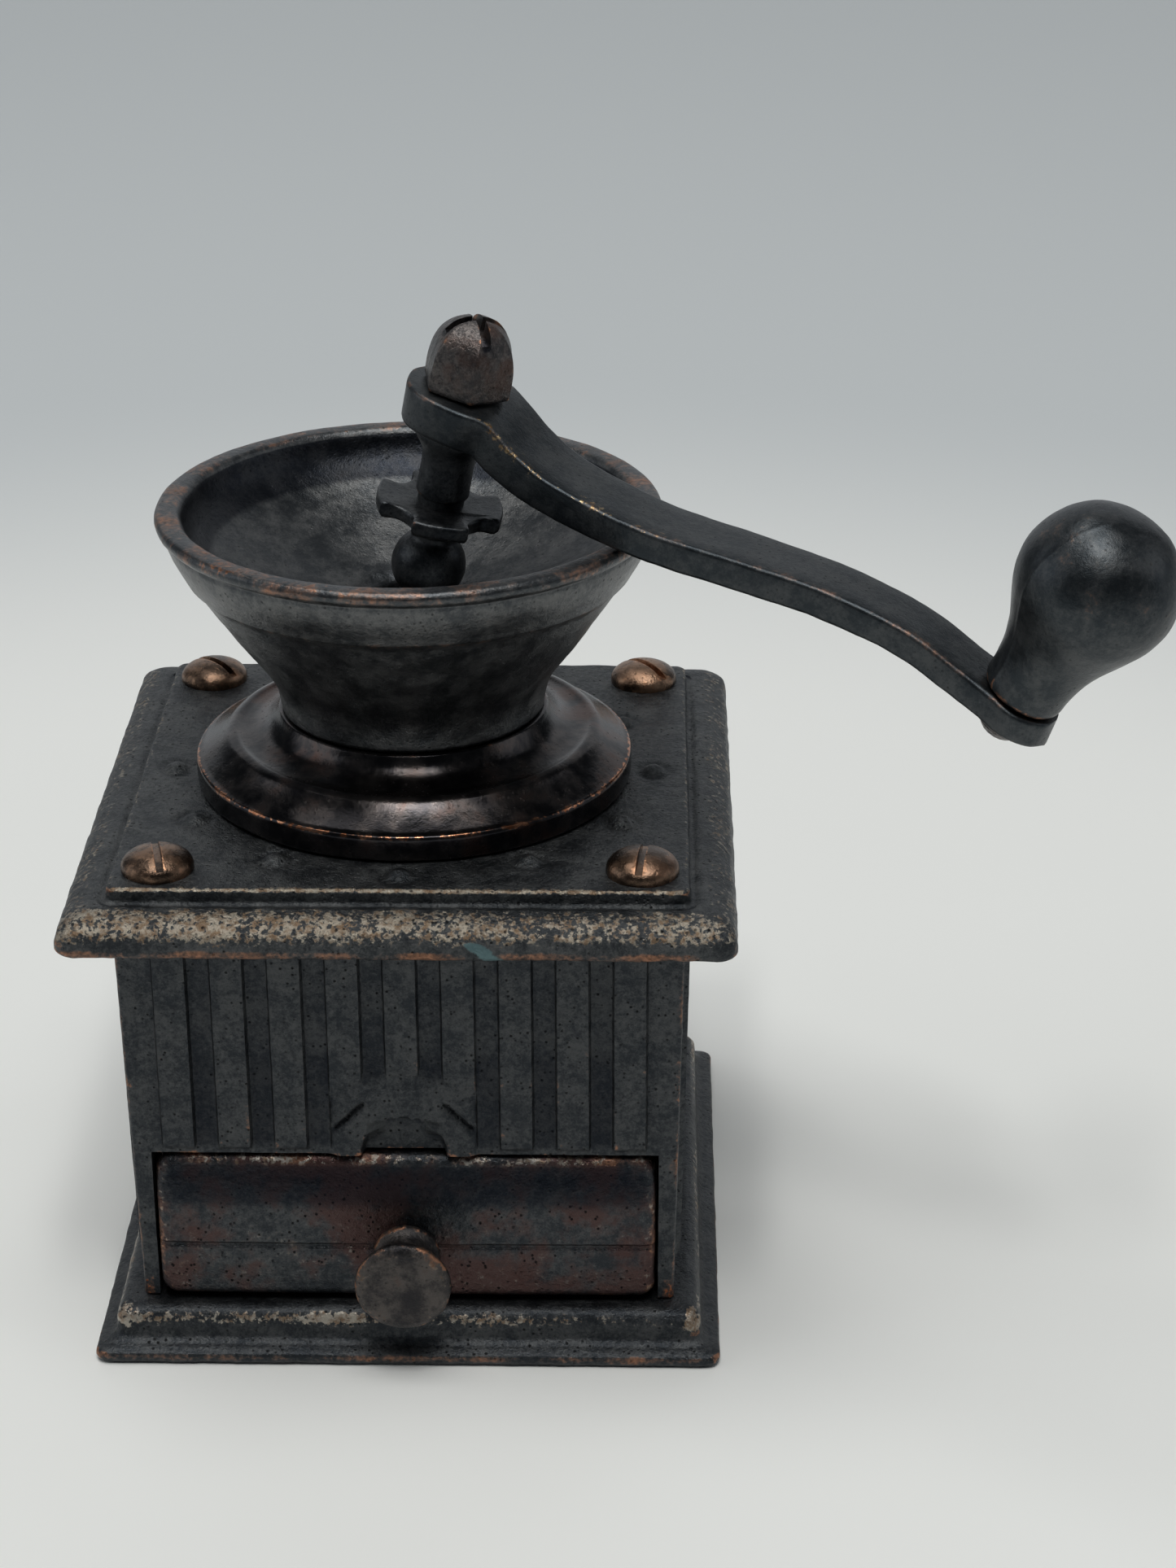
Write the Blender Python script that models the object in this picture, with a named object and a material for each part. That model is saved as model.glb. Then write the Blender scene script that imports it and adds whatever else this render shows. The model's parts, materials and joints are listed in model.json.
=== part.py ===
"""Miniature box coffee mill, all cast metal: base, reeded box, lid, turned hopper,
drawer, crank with a pear knob, and the small cone mill inside the box."""

import math

import bmesh
import bpy
from mathutils import Matrix, Vector

MM = 0.001

# ---- driving dimensions, millimetres ----
GAP = 0.3                 # space kept between pieces that rest on each other

BASE_HALF = 23.2
BASE_TOP_HALF = 20.9
BASE_H = 3.9

BODY_Z0 = BASE_H + GAP
BODY_Z1 = 34.1
BODY_HALF_BOTTOM = 19.5
BODY_HALF_TOP = 20.15
CAVITY_HALF = 17.9
POST_INSET_X = 15.5       # corner posts fill the box corners outside this
POST_INSET_Y = 14.0
REED_COUNT = 9
REED_PITCH = 4.1
REED_WIDTH = 2.35
REED_H = 0.4
SWELL_H = 0.34            # smooth swelling above the finger scoop
SWELL_Z = 17.0
SWELL_TOP = 24.0
SCOOP_R = 3.0

LID_Z0 = BODY_Z1 + GAP
LID_HALF = 24.0
LID_EDGE_H = 0.9
LID_STEP_Z = 37.25
LID_TOP_Z = 38.2
PANEL_HALF = 20.6
BUMP_RING_R = 18.0
BUMP_R = 0.75
BUMP_H = 0.35
SCREW_OFFSET = 17.2
SCREW_HEAD_R = 2.6
SCREW_HEAD_H = 1.4
SCREW_R = 0.85

STAND_R = 16.35
STAND_Z0 = LID_TOP_Z + GAP
STAND_EDGE_Z = 40.3
STAND_RIDGE_R = 13.25
STAND_RIDGE_Z = 42.1
NECK_R = 9.85
NECK_Z = 43.9

RIM_R = 18.55
RIM_IN_R = 16.5
RIM_Z = 59.6
LEDGE_R = 16.2
LEDGE_Z = 54.4
THROAT_R = 4.4
THROAT_Z = 51.6
SPIGOT_R = 6.2
SPIGOT_Z = 31.5
BORE_R = SPIGOT_R + GAP

BURR_FLANGE_R = 13.5
BURR_R = 9.2
BURR_Z0 = 21.5
SHAFT_R = 1.6
CUP_R = 3.9
CUP_Z0 = 42.6
CUP_Z1 = 47.2
SOCKET_HALF = 2.2

DRAWER_HALF = 18.0
DRAWER_Z0 = 4.3
DRAWER_Z1 = 16.1
TRAY_HALF = 15.1
TRAY_BACK = 17.3
TRAY_Z1 = 15.4
TRAY_WALL = 0.9
FRONT_BACK_Y = -18.1
FRONT_FACE_Y = -20.5
KNOB_Z = 8.3

PIVOT_Z = 48.0
CRANK_AZIMUTH = math.radians(-25.0)
CRANK_LEAN = math.radians(12.5)
BALL_S = 7.2
BALL_R = 2.8
STAR_S0 = 11.1
STAR_S1 = 12.5
STAR_TIP_R = 4.8
HUB_S0 = 18.4
HUB_S1 = 21.4
HUB_R = 4.0
NUT_S0 = HUB_S1 + GAP
NUT_S1 = 26.9
NUT_R = 3.25
NUT_TURN = math.radians(-26.5)
ARM_END_U = 45.0
ARM_END_S = 15.1
ARM_END_R = 2.85
ARM_END_T = 2.1
KNOB_TILT = math.radians(16.5)
KNOB_LEN = 15.7
KNOB_R = 5.65

BRONZE = ((0.045, 0.038, 0.035), 0.42, 0.9)
BRONZE_WARM = ((0.070, 0.045, 0.036), 0.36, 0.9)
BRONZE_DULL = ((0.050, 0.046, 0.040), 0.55, 0.85)
COPPER = ((0.300, 0.150, 0.085), 0.38, 1.0)
IRON = ((0.120, 0.115, 0.110), 0.50, 0.95)
STEEL = ((0.330, 0.320, 0.300), 0.34, 1.0)


# ---- helpers ----
def clear_scene():
    for obj in list(bpy.data.objects):
        bpy.data.objects.remove(obj, do_unlink=True)


def make_material(name, look):
    colour, roughness, metallic = look
    mat = bpy.data.materials.new(name)
    mat.use_nodes = True
    shader = mat.node_tree.nodes["Principled BSDF"]
    shader.inputs["Base Color"].default_value = (*colour, 1.0)
    shader.inputs["Roughness"].default_value = roughness
    shader.inputs["Metallic"].default_value = metallic
    mat.diffuse_color = (*colour, 1.0)
    return mat


def finish(name, bm, look=None, parent=None, smooth=True):
    """Turn a bmesh drawn in millimetres into a closed object in metres."""
    bmesh.ops.remove_doubles(bm, verts=bm.verts, dist=1e-4)
    bmesh.ops.recalc_face_normals(bm, faces=bm.faces)
    if bm.calc_volume(signed=True) < 0:
        bmesh.ops.reverse_faces(bm, faces=bm.faces)
    bmesh.ops.scale(bm, vec=(MM, MM, MM), verts=bm.verts)
    mesh = bpy.data.meshes.new(name)
    bm.to_mesh(mesh)
    bm.free()
    if smooth:
        mesh.shade_smooth()
        mesh.set_sharp_from_angle(angle=math.radians(32))
    obj = bpy.data.objects.new(name, mesh)
    bpy.context.scene.collection.objects.link(obj)
    if look:
        mesh.materials.append(make_material(name + "_finish", look))
    if parent:
        obj.parent = parent
    return obj


def turned(profile, segments=32, centre=(0.0, 0.0)):
    """Revolve a closed (radius, height) outline; points at radius 0 lie on the axis."""
    bm = bmesh.new()
    rings = []
    for radius, z in profile:
        if radius < 1e-6:
            rings.append([bm.verts.new((centre[0], centre[1], z))])
            continue
        ring = []
        for i in range(segments):
            a = 2 * math.pi * (i + 0.5) / segments
            ring.append(bm.verts.new((centre[0] + radius * math.cos(a),
                                      centre[1] + radius * math.sin(a), z)))
        rings.append(ring)
    closed = all(len(r) > 1 for r in rings)
    pairs = list(zip(rings, rings[1:]))
    if closed:
        pairs.append((rings[-1], rings[0]))
    for low, high in pairs:
        if len(low) == 1 and len(high) == 1:
            continue
        for i in range(segments):
            j = (i + 1) % segments
            if len(low) == 1:
                bm.faces.new((low[0], high[j], high[i]))
            elif len(high) == 1:
                bm.faces.new((low[i], low[j], high[0]))
            else:
                bm.faces.new((low[i], low[j], high[j], high[i]))
    return bm


def prism(outline, z0, z1):
    """A flat outline in X and Y, raised from z0 to z1."""
    bm = bmesh.new()
    low = [bm.verts.new((x, y, z0)) for x, y in outline]
    high = [bm.verts.new((x, y, z1)) for x, y in outline]
    bm.faces.new(low)
    bm.faces.new(high)
    count = len(outline)
    for i in range(count):
        j = (i + 1) % count
        bm.faces.new((low[i], low[j], high[j], high[i]))
    return bm


def box(x0, x1, y0, y1, z0, z1):
    return prism([(x0, y0), (x1, y0), (x1, y1), (x0, y1)], z0, z1)


def rounded_square(half, corner, steps=3):
    points = []
    for quarter in range(4):
        base = quarter * math.pi / 2
        cx = (half - corner) * (1 if quarter in (0, 3) else -1)
        cy = (half - corner) * (1 if quarter in (0, 1) else -1)
        for k in range(steps + 1):
            a = base + k * math.pi / 2 / steps
            points.append((cx + corner * math.cos(a), cy + corner * math.sin(a)))
    return points


def lofted(levels, steps=3):
    """Square mouldings: (half width, corner radius, height) from bottom to top."""
    bm = bmesh.new()
    rings = []
    for half, corner, z in levels:
        rings.append([bm.verts.new((x, y, z)) for x, y in rounded_square(half, corner, steps)])
    bm.faces.new(rings[0])
    bm.faces.new(rings[-1])
    count = len(rings[0])
    for low, high in zip(rings, rings[1:]):
        for i in range(count):
            j = (i + 1) % count
            bm.faces.new((low[i], low[j], high[j], high[i]))
    return bm


def merge(parts):
    """Put several bmeshes into one, for a cutter made of separate closed bodies."""
    out = bmesh.new()
    for bm in parts:
        temp = bpy.data.meshes.new("temp")
        bmesh.ops.recalc_face_normals(bm, faces=bm.faces)
        if bm.calc_volume(signed=True) < 0:
            bmesh.ops.reverse_faces(bm, faces=bm.faces)
        bm.to_mesh(temp)
        bm.free()
        out.from_mesh(temp)
        bpy.data.meshes.remove(temp)
    return out


def guide(name, bm, parent=None):
    obj = finish(name, bm, None, parent, smooth=False)
    obj.display_type = "WIRE"
    obj.hide_render = True
    return obj


def boolean(target, tool, operation="DIFFERENCE"):
    mod = target.modifiers.new(operation.title() + "_" + tool.name, "BOOLEAN")
    mod.operation = operation
    mod.solver = "EXACT"
    mod.object = tool


def cylinder(x, y, z0, z1, radius, segments=16):
    return turned([(0, z0), (radius, z0), (radius, z1), (0, z1)], segments, (x, y))


def moved(bm, matrix):
    bmesh.ops.transform(bm, matrix=matrix, verts=bm.verts)
    return bm


def catmull(points, per_span):
    """A smooth run through control points, each a tuple of the same length."""
    out = []
    last = len(points) - 1
    for i in range(last):
        p0 = points[max(i - 1, 0)]
        p1 = points[i]
        p2 = points[i + 1]
        p3 = points[min(i + 2, last)]
        for k in range(per_span):
            t = k / per_span
            out.append(tuple(
                0.5 * ((2 * b) + (c - a) * t + (2 * a - 5 * b + 4 * c - d) * t * t
                       + (3 * b - a - 3 * c + d) * t ** 3)
                for a, b, c, d in zip(p0, p1, p2, p3)))
    out.append(points[-1])
    return out


def dome_screw(name, x, y, z, slot_turn, look):
    """A round-head slotted screw standing on height z, shank downwards."""
    rise = []
    for k in range(5):
        a = k * math.pi / 2 / 5
        rise.append((SCREW_HEAD_R * math.cos(a), z + 0.15 + (SCREW_HEAD_H - 0.15) * math.sin(a)))
    profile = [(0, z - 11.0), (SCREW_R, z - 11.0), (SCREW_R, z), (SCREW_HEAD_R, z)]
    profile += rise + [(0, z + SCREW_HEAD_H)]
    screw = finish(name, turned(profile, 16, (x, y)), look)
    slot = box(-3.0, 3.0, -0.3, 0.3, z + 0.75, z + 2.0)
    turn = Matrix.Rotation(slot_turn, 4, "Z")
    moved(slot, Matrix.Translation((x, y, 0)) @ turn)
    boolean(screw, guide(name + "_slot", slot))
    return screw


def flat_screw(name, x, y, z_head, z_tip, head_r, shank_r, down=True):
    """A small cheese-head screw; its head faces down when down is true."""
    head = 0.8 if down else -0.8
    profile = [(0, z_head), (head_r, z_head), (head_r, z_head + head),
               (shank_r, z_head + head), (shank_r, z_tip), (0, z_tip)]
    return finish(name, turned(profile, 12, (x, y)), STEEL)


# ---- box ----
def build_base():
    levels = [(BASE_HALF, 0.9, 0.0), (BASE_HALF, 0.9, 0.7), (BASE_HALF - 0.45, 0.9, 1.15),
              (BASE_HALF - 1.0, 0.9, 1.5), (BASE_HALF - 1.45, 0.9, 2.1),
              (BASE_HALF - 1.6, 0.9, 2.9), (BASE_HALF - 1.85, 0.9, 3.5),
              (BASE_TOP_HALF, 0.8, BASE_H)]
    base = finish("base_plate", lofted(levels), BRONZE)
    holes = []
    for sx in (-1, 1):
        for sy in (-1, 1):
            x = sx * SCREW_OFFSET
            y = sy * SCREW_OFFSET
            if sy < 0:
                y += 0.9
            holes.append(cylinder(x, y, -1.0, 1.4, 1.9, 12))
            holes.append(cylinder(x, y, 1.0, 5.0, 1.1, 12))
    first = merge(holes[0::2])
    second = merge(holes[1::2])
    boolean(base, guide("base_head_pockets", first))
    boolean(base, guide("base_screw_holes", second))
    number = 1
    for sx in (-1, 1):
        for sy in (-1, 1):
            x = sx * SCREW_OFFSET
            y = sy * SCREW_OFFSET
            if sy < 0:
                y += 0.9
            profile = [(0, 0.25), (1.55, 0.25), (1.55, 1.1), (0.75, 1.1), (0.75, 8.0), (0, 8.0)]
            finish("base_screw_%d" % number, turned(profile, 12, (x, y)), STEEL)
            number += 1


def wall_block(side, x0, x1, z0, height):
    """A raised block on one leaning wall, from z0 up to the top of the box."""
    lean = (BODY_HALF_TOP - BODY_HALF_BOTTOM) / (BODY_Z1 - BODY_Z0)
    z1 = BODY_Z1 if height == REED_H else SWELL_TOP
    bm = bmesh.new()
    corners = []
    for z in (z0, z1):
        wall = -(BODY_HALF_BOTTOM + lean * (z - BODY_Z0))
        ease = 0.12 if z == z0 else 0.0
        for x, out in ((x0, -0.6), (x1, -0.6), (x1 - 0.1, height - ease),
                       (x0 + 0.1, height - ease)):
            corners.append(bm.verts.new((x, wall - out, z)))
    for face in ((0, 1, 2, 3), (4, 5, 6, 7), (0, 1, 5, 4), (1, 2, 6, 5), (2, 3, 7, 6),
                 (3, 0, 4, 7)):
        bm.faces.new([corners[k] for k in face])
    return moved(bm, Matrix.Rotation(side * math.pi / 2, 4, "Z"))


def reeds():
    """Nine flat reeds standing off each wall; on the front they stop above the drawer."""
    half_run = (REED_COUNT - 1) / 2
    blocks = []
    for side in range(4):
        for i in range(REED_COUNT):
            x = (i - half_run) * REED_PITCH
            low = 7.0
            if side == 0:
                low = SWELL_TOP - 0.5 if abs(x) < REED_PITCH * 1.5 else SWELL_Z
            blocks.append(wall_block(side, x - REED_WIDTH / 2, x + REED_WIDTH / 2, low,
                                     REED_H))
    return merge(blocks)


def build_body():
    levels = [(BODY_HALF_BOTTOM, 0.5, BODY_Z0), (BODY_HALF_TOP, 0.5, BODY_Z1)]
    body = finish("body_shell", lofted(levels, 2), BRONZE)
    cx = CAVITY_HALF
    px = POST_INSET_X
    py = POST_INSET_Y
    outline = [(-px, -cx), (px, -cx), (px, -py), (cx, -py), (cx, py), (px, py),
               (px, cx), (-px, cx), (-px, py), (-cx, py), (-cx, -py), (-px, -py)]
    boolean(body, guide("box_cavity", prism(outline, -5, 50)))
    opening = box(-DRAWER_HALF - GAP, DRAWER_HALF + GAP, -30, FRONT_BACK_Y + 0.3,
                  -5, DRAWER_Z1 + GAP)
    boolean(body, guide("drawer_mouth", opening))
    boolean(body, guide("wall_reeds", reeds()), "UNION")
    reach = REED_PITCH + REED_WIDTH / 2
    swell = wall_block(0, -reach, reach, SWELL_Z, SWELL_H)
    boolean(body, guide("front_swelling", swell), "UNION")
    lay = Matrix.Rotation(math.pi / 2, 4, "X")
    scoop = cylinder(0, 0, -1.0, 1.0, SCOOP_R, 20)
    moved(scoop, Matrix.Translation((0, -20.2, DRAWER_Z1 + GAP)) @ lay)
    boolean(body, guide("finger_scoop", scoop))
    holes = []
    for sx in (-1, 1):
        for sy in (-1, 1):
            x = sx * SCREW_OFFSET
            y = sy * SCREW_OFFSET
            holes.append(cylinder(x, y, 26.0, 40.0, SCREW_R + GAP, 12))
            if sy < 0:
                y += 0.9
            holes.append(cylinder(x, y, 0.0, 9.0, 1.05, 12))
    boolean(body, guide("post_holes", merge(holes)))


def build_lid():
    levels = [(LID_HALF - 0.25, 1.2, LID_Z0), (LID_HALF, 1.2, LID_Z0 + 0.25),
              (LID_HALF, 1.2, LID_Z0 + LID_EDGE_H), (LID_HALF - 0.2, 1.2, LID_Z0 + 1.5),
              (LID_HALF - 0.8, 1.2, LID_Z0 + 2.15), (LID_HALF - 1.8, 1.2, LID_Z0 + 2.6),
              (PANEL_HALF + 0.2, 0.8, LID_STEP_Z), (PANEL_HALF, 0.7, LID_STEP_Z + 0.1),
              (PANEL_HALF, 0.7, LID_TOP_Z - 0.2), (PANEL_HALF - 0.2, 0.6, LID_TOP_Z)]
    lid = finish("top_plate", lofted(levels), BRONZE)
    bumps = []
    for k in range(12):
        a = math.radians(-90 + 30 * k)
        x = BUMP_RING_R * math.cos(a)
        y = BUMP_RING_R * math.sin(a)
        profile = [(0, LID_TOP_Z - 0.5), (BUMP_R, LID_TOP_Z - 0.5), (BUMP_R, LID_TOP_Z + 0.02),
                   (BUMP_R * 0.6, LID_TOP_Z + BUMP_H * 0.8), (0, LID_TOP_Z + BUMP_H)]
        bumps.append(turned(profile, 8, (x, y)))
    boolean(lid, guide("lid_bumps", merge(bumps)), "UNION")
    holes = [cylinder(0, 0, 30, 45, BORE_R, 32)]
    for sx in (-1, 1):
        for sy in (-1, 1):
            holes.append(cylinder(sx * SCREW_OFFSET, sy * SCREW_OFFSET, 30, 45,
                                  SCREW_R + GAP, 12))
    for k in range(3):
        a = math.radians(90 + 120 * k)
        holes.append(cylinder(11.3 * math.cos(a), 11.3 * math.sin(a), 30, LID_TOP_Z - 1.2,
                              0.95, 12))
    boolean(lid, guide("lid_holes", merge(holes)))
    turns = (0.25, 1.1, -0.35, 1.9)
    number = 1
    for sx in (-1, 1):
        for sy in (-1, 1):
            dome_screw("lid_screw_%d" % number, sx * SCREW_OFFSET, sy * SCREW_OFFSET,
                       LID_TOP_Z + GAP, math.pi / 2 - turns[number - 1], COPPER)
            number += 1


# ---- hopper ----
def build_hopper():
    stand = [(BORE_R, STAND_Z0), (STAND_R, STAND_Z0), (STAND_R, STAND_EDGE_Z - 0.3),
             (STAND_R - 0.2, STAND_EDGE_Z), (STAND_R - 0.9, STAND_EDGE_Z + 0.35),
             (STAND_R - 1.9, STAND_EDGE_Z + 1.0), (STAND_RIDGE_R + 0.5, STAND_RIDGE_Z - 0.2),
             (STAND_RIDGE_R, STAND_RIDGE_Z), (STAND_RIDGE_R - 0.7, STAND_RIDGE_Z - 0.1),
             (STAND_RIDGE_R - 1.9, STAND_RIDGE_Z + 0.1), (NECK_R + 0.6, NECK_Z - 1.0),
             (NECK_R + 0.1, NECK_Z - GAP), (BORE_R, NECK_Z - GAP)]
    finish("hopper_stand", turned(stand, 36), BRONZE_WARM)
    bowl = [(SPIGOT_R, NECK_Z), (NECK_R, NECK_Z), (NECK_R + 0.3, 45.4), (10.9, 47.0),
            (12.1, 48.6), (13.25, 50.2), (14.15, 51.6), (15.0, 52.8), (15.7, 53.8),
            (LEDGE_R, LEDGE_Z), (16.6, 55.1), (17.05, 55.9), (17.6, 56.9), (17.85, 57.9),
            (17.9, 58.3), (18.3, 58.55), (RIM_R, 58.95), (RIM_R, 59.3),
            (RIM_R - 0.4, RIM_Z), (RIM_IN_R + 0.35, RIM_Z), (RIM_IN_R, 59.3), (16.2, 58.4),
            (15.6, 57.4), (14.8, 56.5), (13.0, 55.4), (9.0, 53.6), (4.9, 52.0),
            (THROAT_R, THROAT_Z), (THROAT_R, SPIGOT_Z), (SPIGOT_R, SPIGOT_Z)]
    finish("hopper_bowl", turned(bowl, 36), BRONZE)


# ---- mill inside the box ----
def toothed(profile_low, profile_high, teeth, depth, bore, steps=2):
    """A short toothed cone between two (radius, height) ends, with a round bore."""
    bm = bmesh.new()
    count = teeth * steps
    rings = []
    for radius, z in (profile_low, profile_high):
        ring = []
        for i in range(count):
            a = 2 * math.pi * i / count
            r = radius - (depth if i % steps else 0.0)
            ring.append(bm.verts.new((r * math.cos(a), r * math.sin(a), z)))
        rings.append(ring)
    inner = []
    for z in (profile_low[1], profile_high[1]):
        inner.append([bm.verts.new((bore * math.cos(2 * math.pi * i / count),
                                    bore * math.sin(2 * math.pi * i / count), z))
                      for i in range(count)])
    for i in range(count):
        j = (i + 1) % count
        bm.faces.new((rings[0][i], rings[0][j], rings[1][j], rings[1][i]))
        bm.faces.new((inner[0][i], inner[1][i], inner[1][j], inner[0][j]))
        bm.faces.new((rings[0][i], inner[0][i], inner[0][j], rings[0][j]))
        bm.faces.new((rings[1][i], rings[1][j], inner[1][j], inner[1][i]))
    return bm


def build_mill(spindle):
    top = BODY_Z1
    ring = bmesh.new()
    count = 36
    outline = [(7.0, top), (BURR_FLANGE_R, top), (BURR_FLANGE_R, top - 2.0),
               (BURR_R, top - 2.0), (BURR_R, BURR_Z0), (7.6, BURR_Z0), (4.9, 29.4), (7.0, 29.9)]
    rings = []
    for index, (radius, z) in enumerate(outline):
        row = []
        for i in range(count):
            a = 2 * math.pi * i / count
            cut = 0.35 if index in (5, 6) and i % 2 else 0.0
            row.append(ring.verts.new(((radius + cut) * math.cos(a),
                                       (radius + cut) * math.sin(a), z)))
        rings.append(row)
    for k in range(len(rings)):
        low = rings[k]
        high = rings[(k + 1) % len(rings)]
        for i in range(count):
            j = (i + 1) % count
            ring.faces.new((low[i], low[j], high[j], high[i]))
    burr = finish("outer_burr", ring, IRON)
    holes = []
    for k in range(3):
        a = math.radians(90 + 120 * k)
        x = 11.3 * math.cos(a)
        y = 11.3 * math.sin(a)
        holes.append(cylinder(x, y, 25, 40, 0.95, 12))
        flat_screw("burr_screw_%d" % (k + 1), x, y, 31.0, 36.6, 1.5, 0.65)
    for sx in (-1, 1):
        holes.append(cylinder(sx * 8.4, 0, 15, 25.5, 0.6, 10))
    boolean(burr, guide("burr_holes", merge(holes)))

    guide_ring = finish("shaft_guide", turned([(1.95, 30.2), (2.9, 30.2), (2.9, 31.2),
                                               (1.95, 31.2)], 16), IRON)
    arms = []
    for k in range(3):
        arm = box(2.4, 6.7, -0.5, 0.5, 30.3, 31.1)
        arms.append(moved(arm, Matrix.Rotation(math.radians(30 + 120 * k), 4, "Z")))
    boolean(guide_ring, guide("guide_arms", merge(arms)), "UNION")

    shaft = finish("drive_shaft", turned([(0, 20.9), (0.8, 20.9), (SHAFT_R, 21.5),
                                          (SHAFT_R, CUP_Z0), (CUP_R, CUP_Z0 + 0.8),
                                          (CUP_R, CUP_Z1), (0, CUP_Z1)], 24), STEEL, spindle)
    socket = box(-SOCKET_HALF, SOCKET_HALF, -SOCKET_HALF, SOCKET_HALF, 44.1, 50)
    boolean(shaft, guide("tang_socket", socket, spindle))
    cone = toothed((6.6, 22.9), (3.6, 29.6), 14, 0.6, SHAFT_R + 0.3)
    finish("inner_burr", cone, IRON, spindle, smooth=False)
    nut = [(2.9 * math.cos(math.pi / 3 * k), 2.9 * math.sin(math.pi / 3 * k)) for k in range(6)]
    burr_nut = finish("burr_nut", prism(nut, 21.3, 22.6), STEEL, spindle, smooth=False)
    boolean(burr_nut, guide("nut_bore", cylinder(0, 0, 20, 24, SHAFT_R + 0.3, 24), spindle))

    strap = [(-9.6, -2.0), (-8.4, -2.4), (8.4, -2.4), (9.6, -2.0),
             (9.6, 2.0), (8.4, 2.4), (-8.4, 2.4), (-9.6, 2.0)]
    bridge = finish("lower_bridge", prism(strap, 19.2, 20.6), IRON, smooth=False)
    cuts = [cylinder(0, 0, 15, 25, 1.3, 16)]
    for sx in (-1, 1):
        cuts.append(cylinder(sx * 8.4, 0, 15, 25, 0.7, 10))
    boolean(bridge, guide("bridge_holes", merge(cuts)))
    lift = box(-5, 5, -4, 4, 20.25, 22)
    boolean(bridge, guide("bridge_relief", lift))
    for number, sx in enumerate((-1, 1), 1):
        profile = [(0, 18.2), (1.2, 18.2), (1.2, 18.9), (0.4, 18.9), (0.4, 25.0), (0, 25.0)]
        finish("bridge_screw_%d" % number, turned(profile, 10, (sx * 8.4, 0)), STEEL)
    adjust = [(0, 17.4), (2.3, 17.4), (2.3, 18.6), (1.0, 18.6), (1.0, 20.6), (0, 20.6)]
    finish("adjust_screw", turned(adjust, 16), STEEL)


# ---- drawer ----
def build_drawer(drawer):
    w = DRAWER_HALF
    z0 = DRAWER_Z0
    z1 = DRAWER_Z1
    mid = (z0 + z1) / 2
    tall = (z1 - z0) / 2
    levels = ((0.0, FRONT_BACK_Y), (0.0, -19.9), (0.25, -20.35), (0.8, FRONT_FACE_Y))
    bm = bmesh.new()
    rings = []
    for inset, y in levels:
        ring = []
        for quarter in range(4):
            corner = max(0.9 - inset, 0.3)
            cx = (w - inset - corner) * (1 if quarter in (0, 3) else -1)
            cz = (tall - inset - corner) * (1 if quarter in (0, 1) else -1)
            for k in range(4):
                a = quarter * math.pi / 2 + k * math.pi / 6
                ring.append(bm.verts.new((cx + corner * math.cos(a), y,
                                          mid + cz + corner * math.sin(a))))
        rings.append(ring)
    bm.faces.new(rings[0])
    bm.faces.new(rings[-1])
    for low, high in zip(rings, rings[1:]):
        for i in range(16):
            j = (i + 1) % 16
            bm.faces.new((low[i], low[j], high[j], high[i]))
    front = finish("drawer_front", bm, BRONZE_WARM, drawer)
    lay = Matrix.Translation((0, FRONT_BACK_Y, 0)) @ Matrix.Rotation(math.pi / 2, 4, "X")
    cuts = [moved(cylinder(0, KNOB_Z, -2, 5, 1.4, 12), lay)]
    for sx in (-1, 1):
        cuts.append(moved(cylinder(sx * 9.0, KNOB_Z, -2, 1.3, 0.9, 10), lay))
    boolean(front, guide("front_holes", merge(cuts), drawer))
    reach = -FRONT_FACE_Y + FRONT_BACK_Y
    knob = [(0, -1.6), (1.1, -1.6), (1.1, reach + 0.3), (2.3, reach + 0.3),
            (2.35, reach + 0.7), (1.75, reach + 1.2), (1.7, reach + 3.2), (2.4, reach + 3.7),
            (3.4, reach + 3.95), (3.55, reach + 4.35), (3.45, reach + 4.75), (3.0, reach + 4.9),
            (0, reach + 4.95)]
    bm = turned(knob, 24, (0, 0))
    place = (Matrix.Translation((0, FRONT_BACK_Y, KNOB_Z)) @ Matrix.Rotation(math.pi / 2, 4, "X"))
    finish("drawer_knob", moved(bm, place), BRONZE_DULL, drawer)

    y0 = FRONT_BACK_Y + 0.3
    outer = box(-TRAY_HALF, TRAY_HALF, y0, TRAY_BACK, DRAWER_Z0 - 0.05, TRAY_Z1)
    tray = finish("drawer_tray", outer, BRONZE_DULL, drawer, smooth=False)
    t = TRAY_WALL
    hollow = box(-TRAY_HALF + t, TRAY_HALF - t, y0 + t, TRAY_BACK - t, DRAWER_Z0 + t, 30)
    boolean(tray, guide("tray_hollow", hollow, drawer))
    cuts = [moved(cylinder(0, KNOB_Z, -4, 2, 1.4, 12), lay)]
    for sx in (-1, 1):
        cuts.append(moved(cylinder(sx * 9.0, KNOB_Z, -4, 2, 0.9, 10), lay))
    boolean(tray, guide("tray_rivet_holes", merge(cuts), drawer))
    for number, sx in enumerate((-1, 1), 1):
        profile = [(0, -2.1), (1.1, -2.1), (1.3, -1.5), (0.6, -1.5), (0.6, 1.0), (0, 1.0)]
        rivet = moved(turned(profile, 12, (0, 0)),
                      Matrix.Translation((sx * 9.0, FRONT_BACK_Y, KNOB_Z))
                      @ Matrix.Rotation(math.pi / 2, 4, "X"))
        finish("drawer_rivet_%d" % number, rivet, STEEL, drawer)


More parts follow.
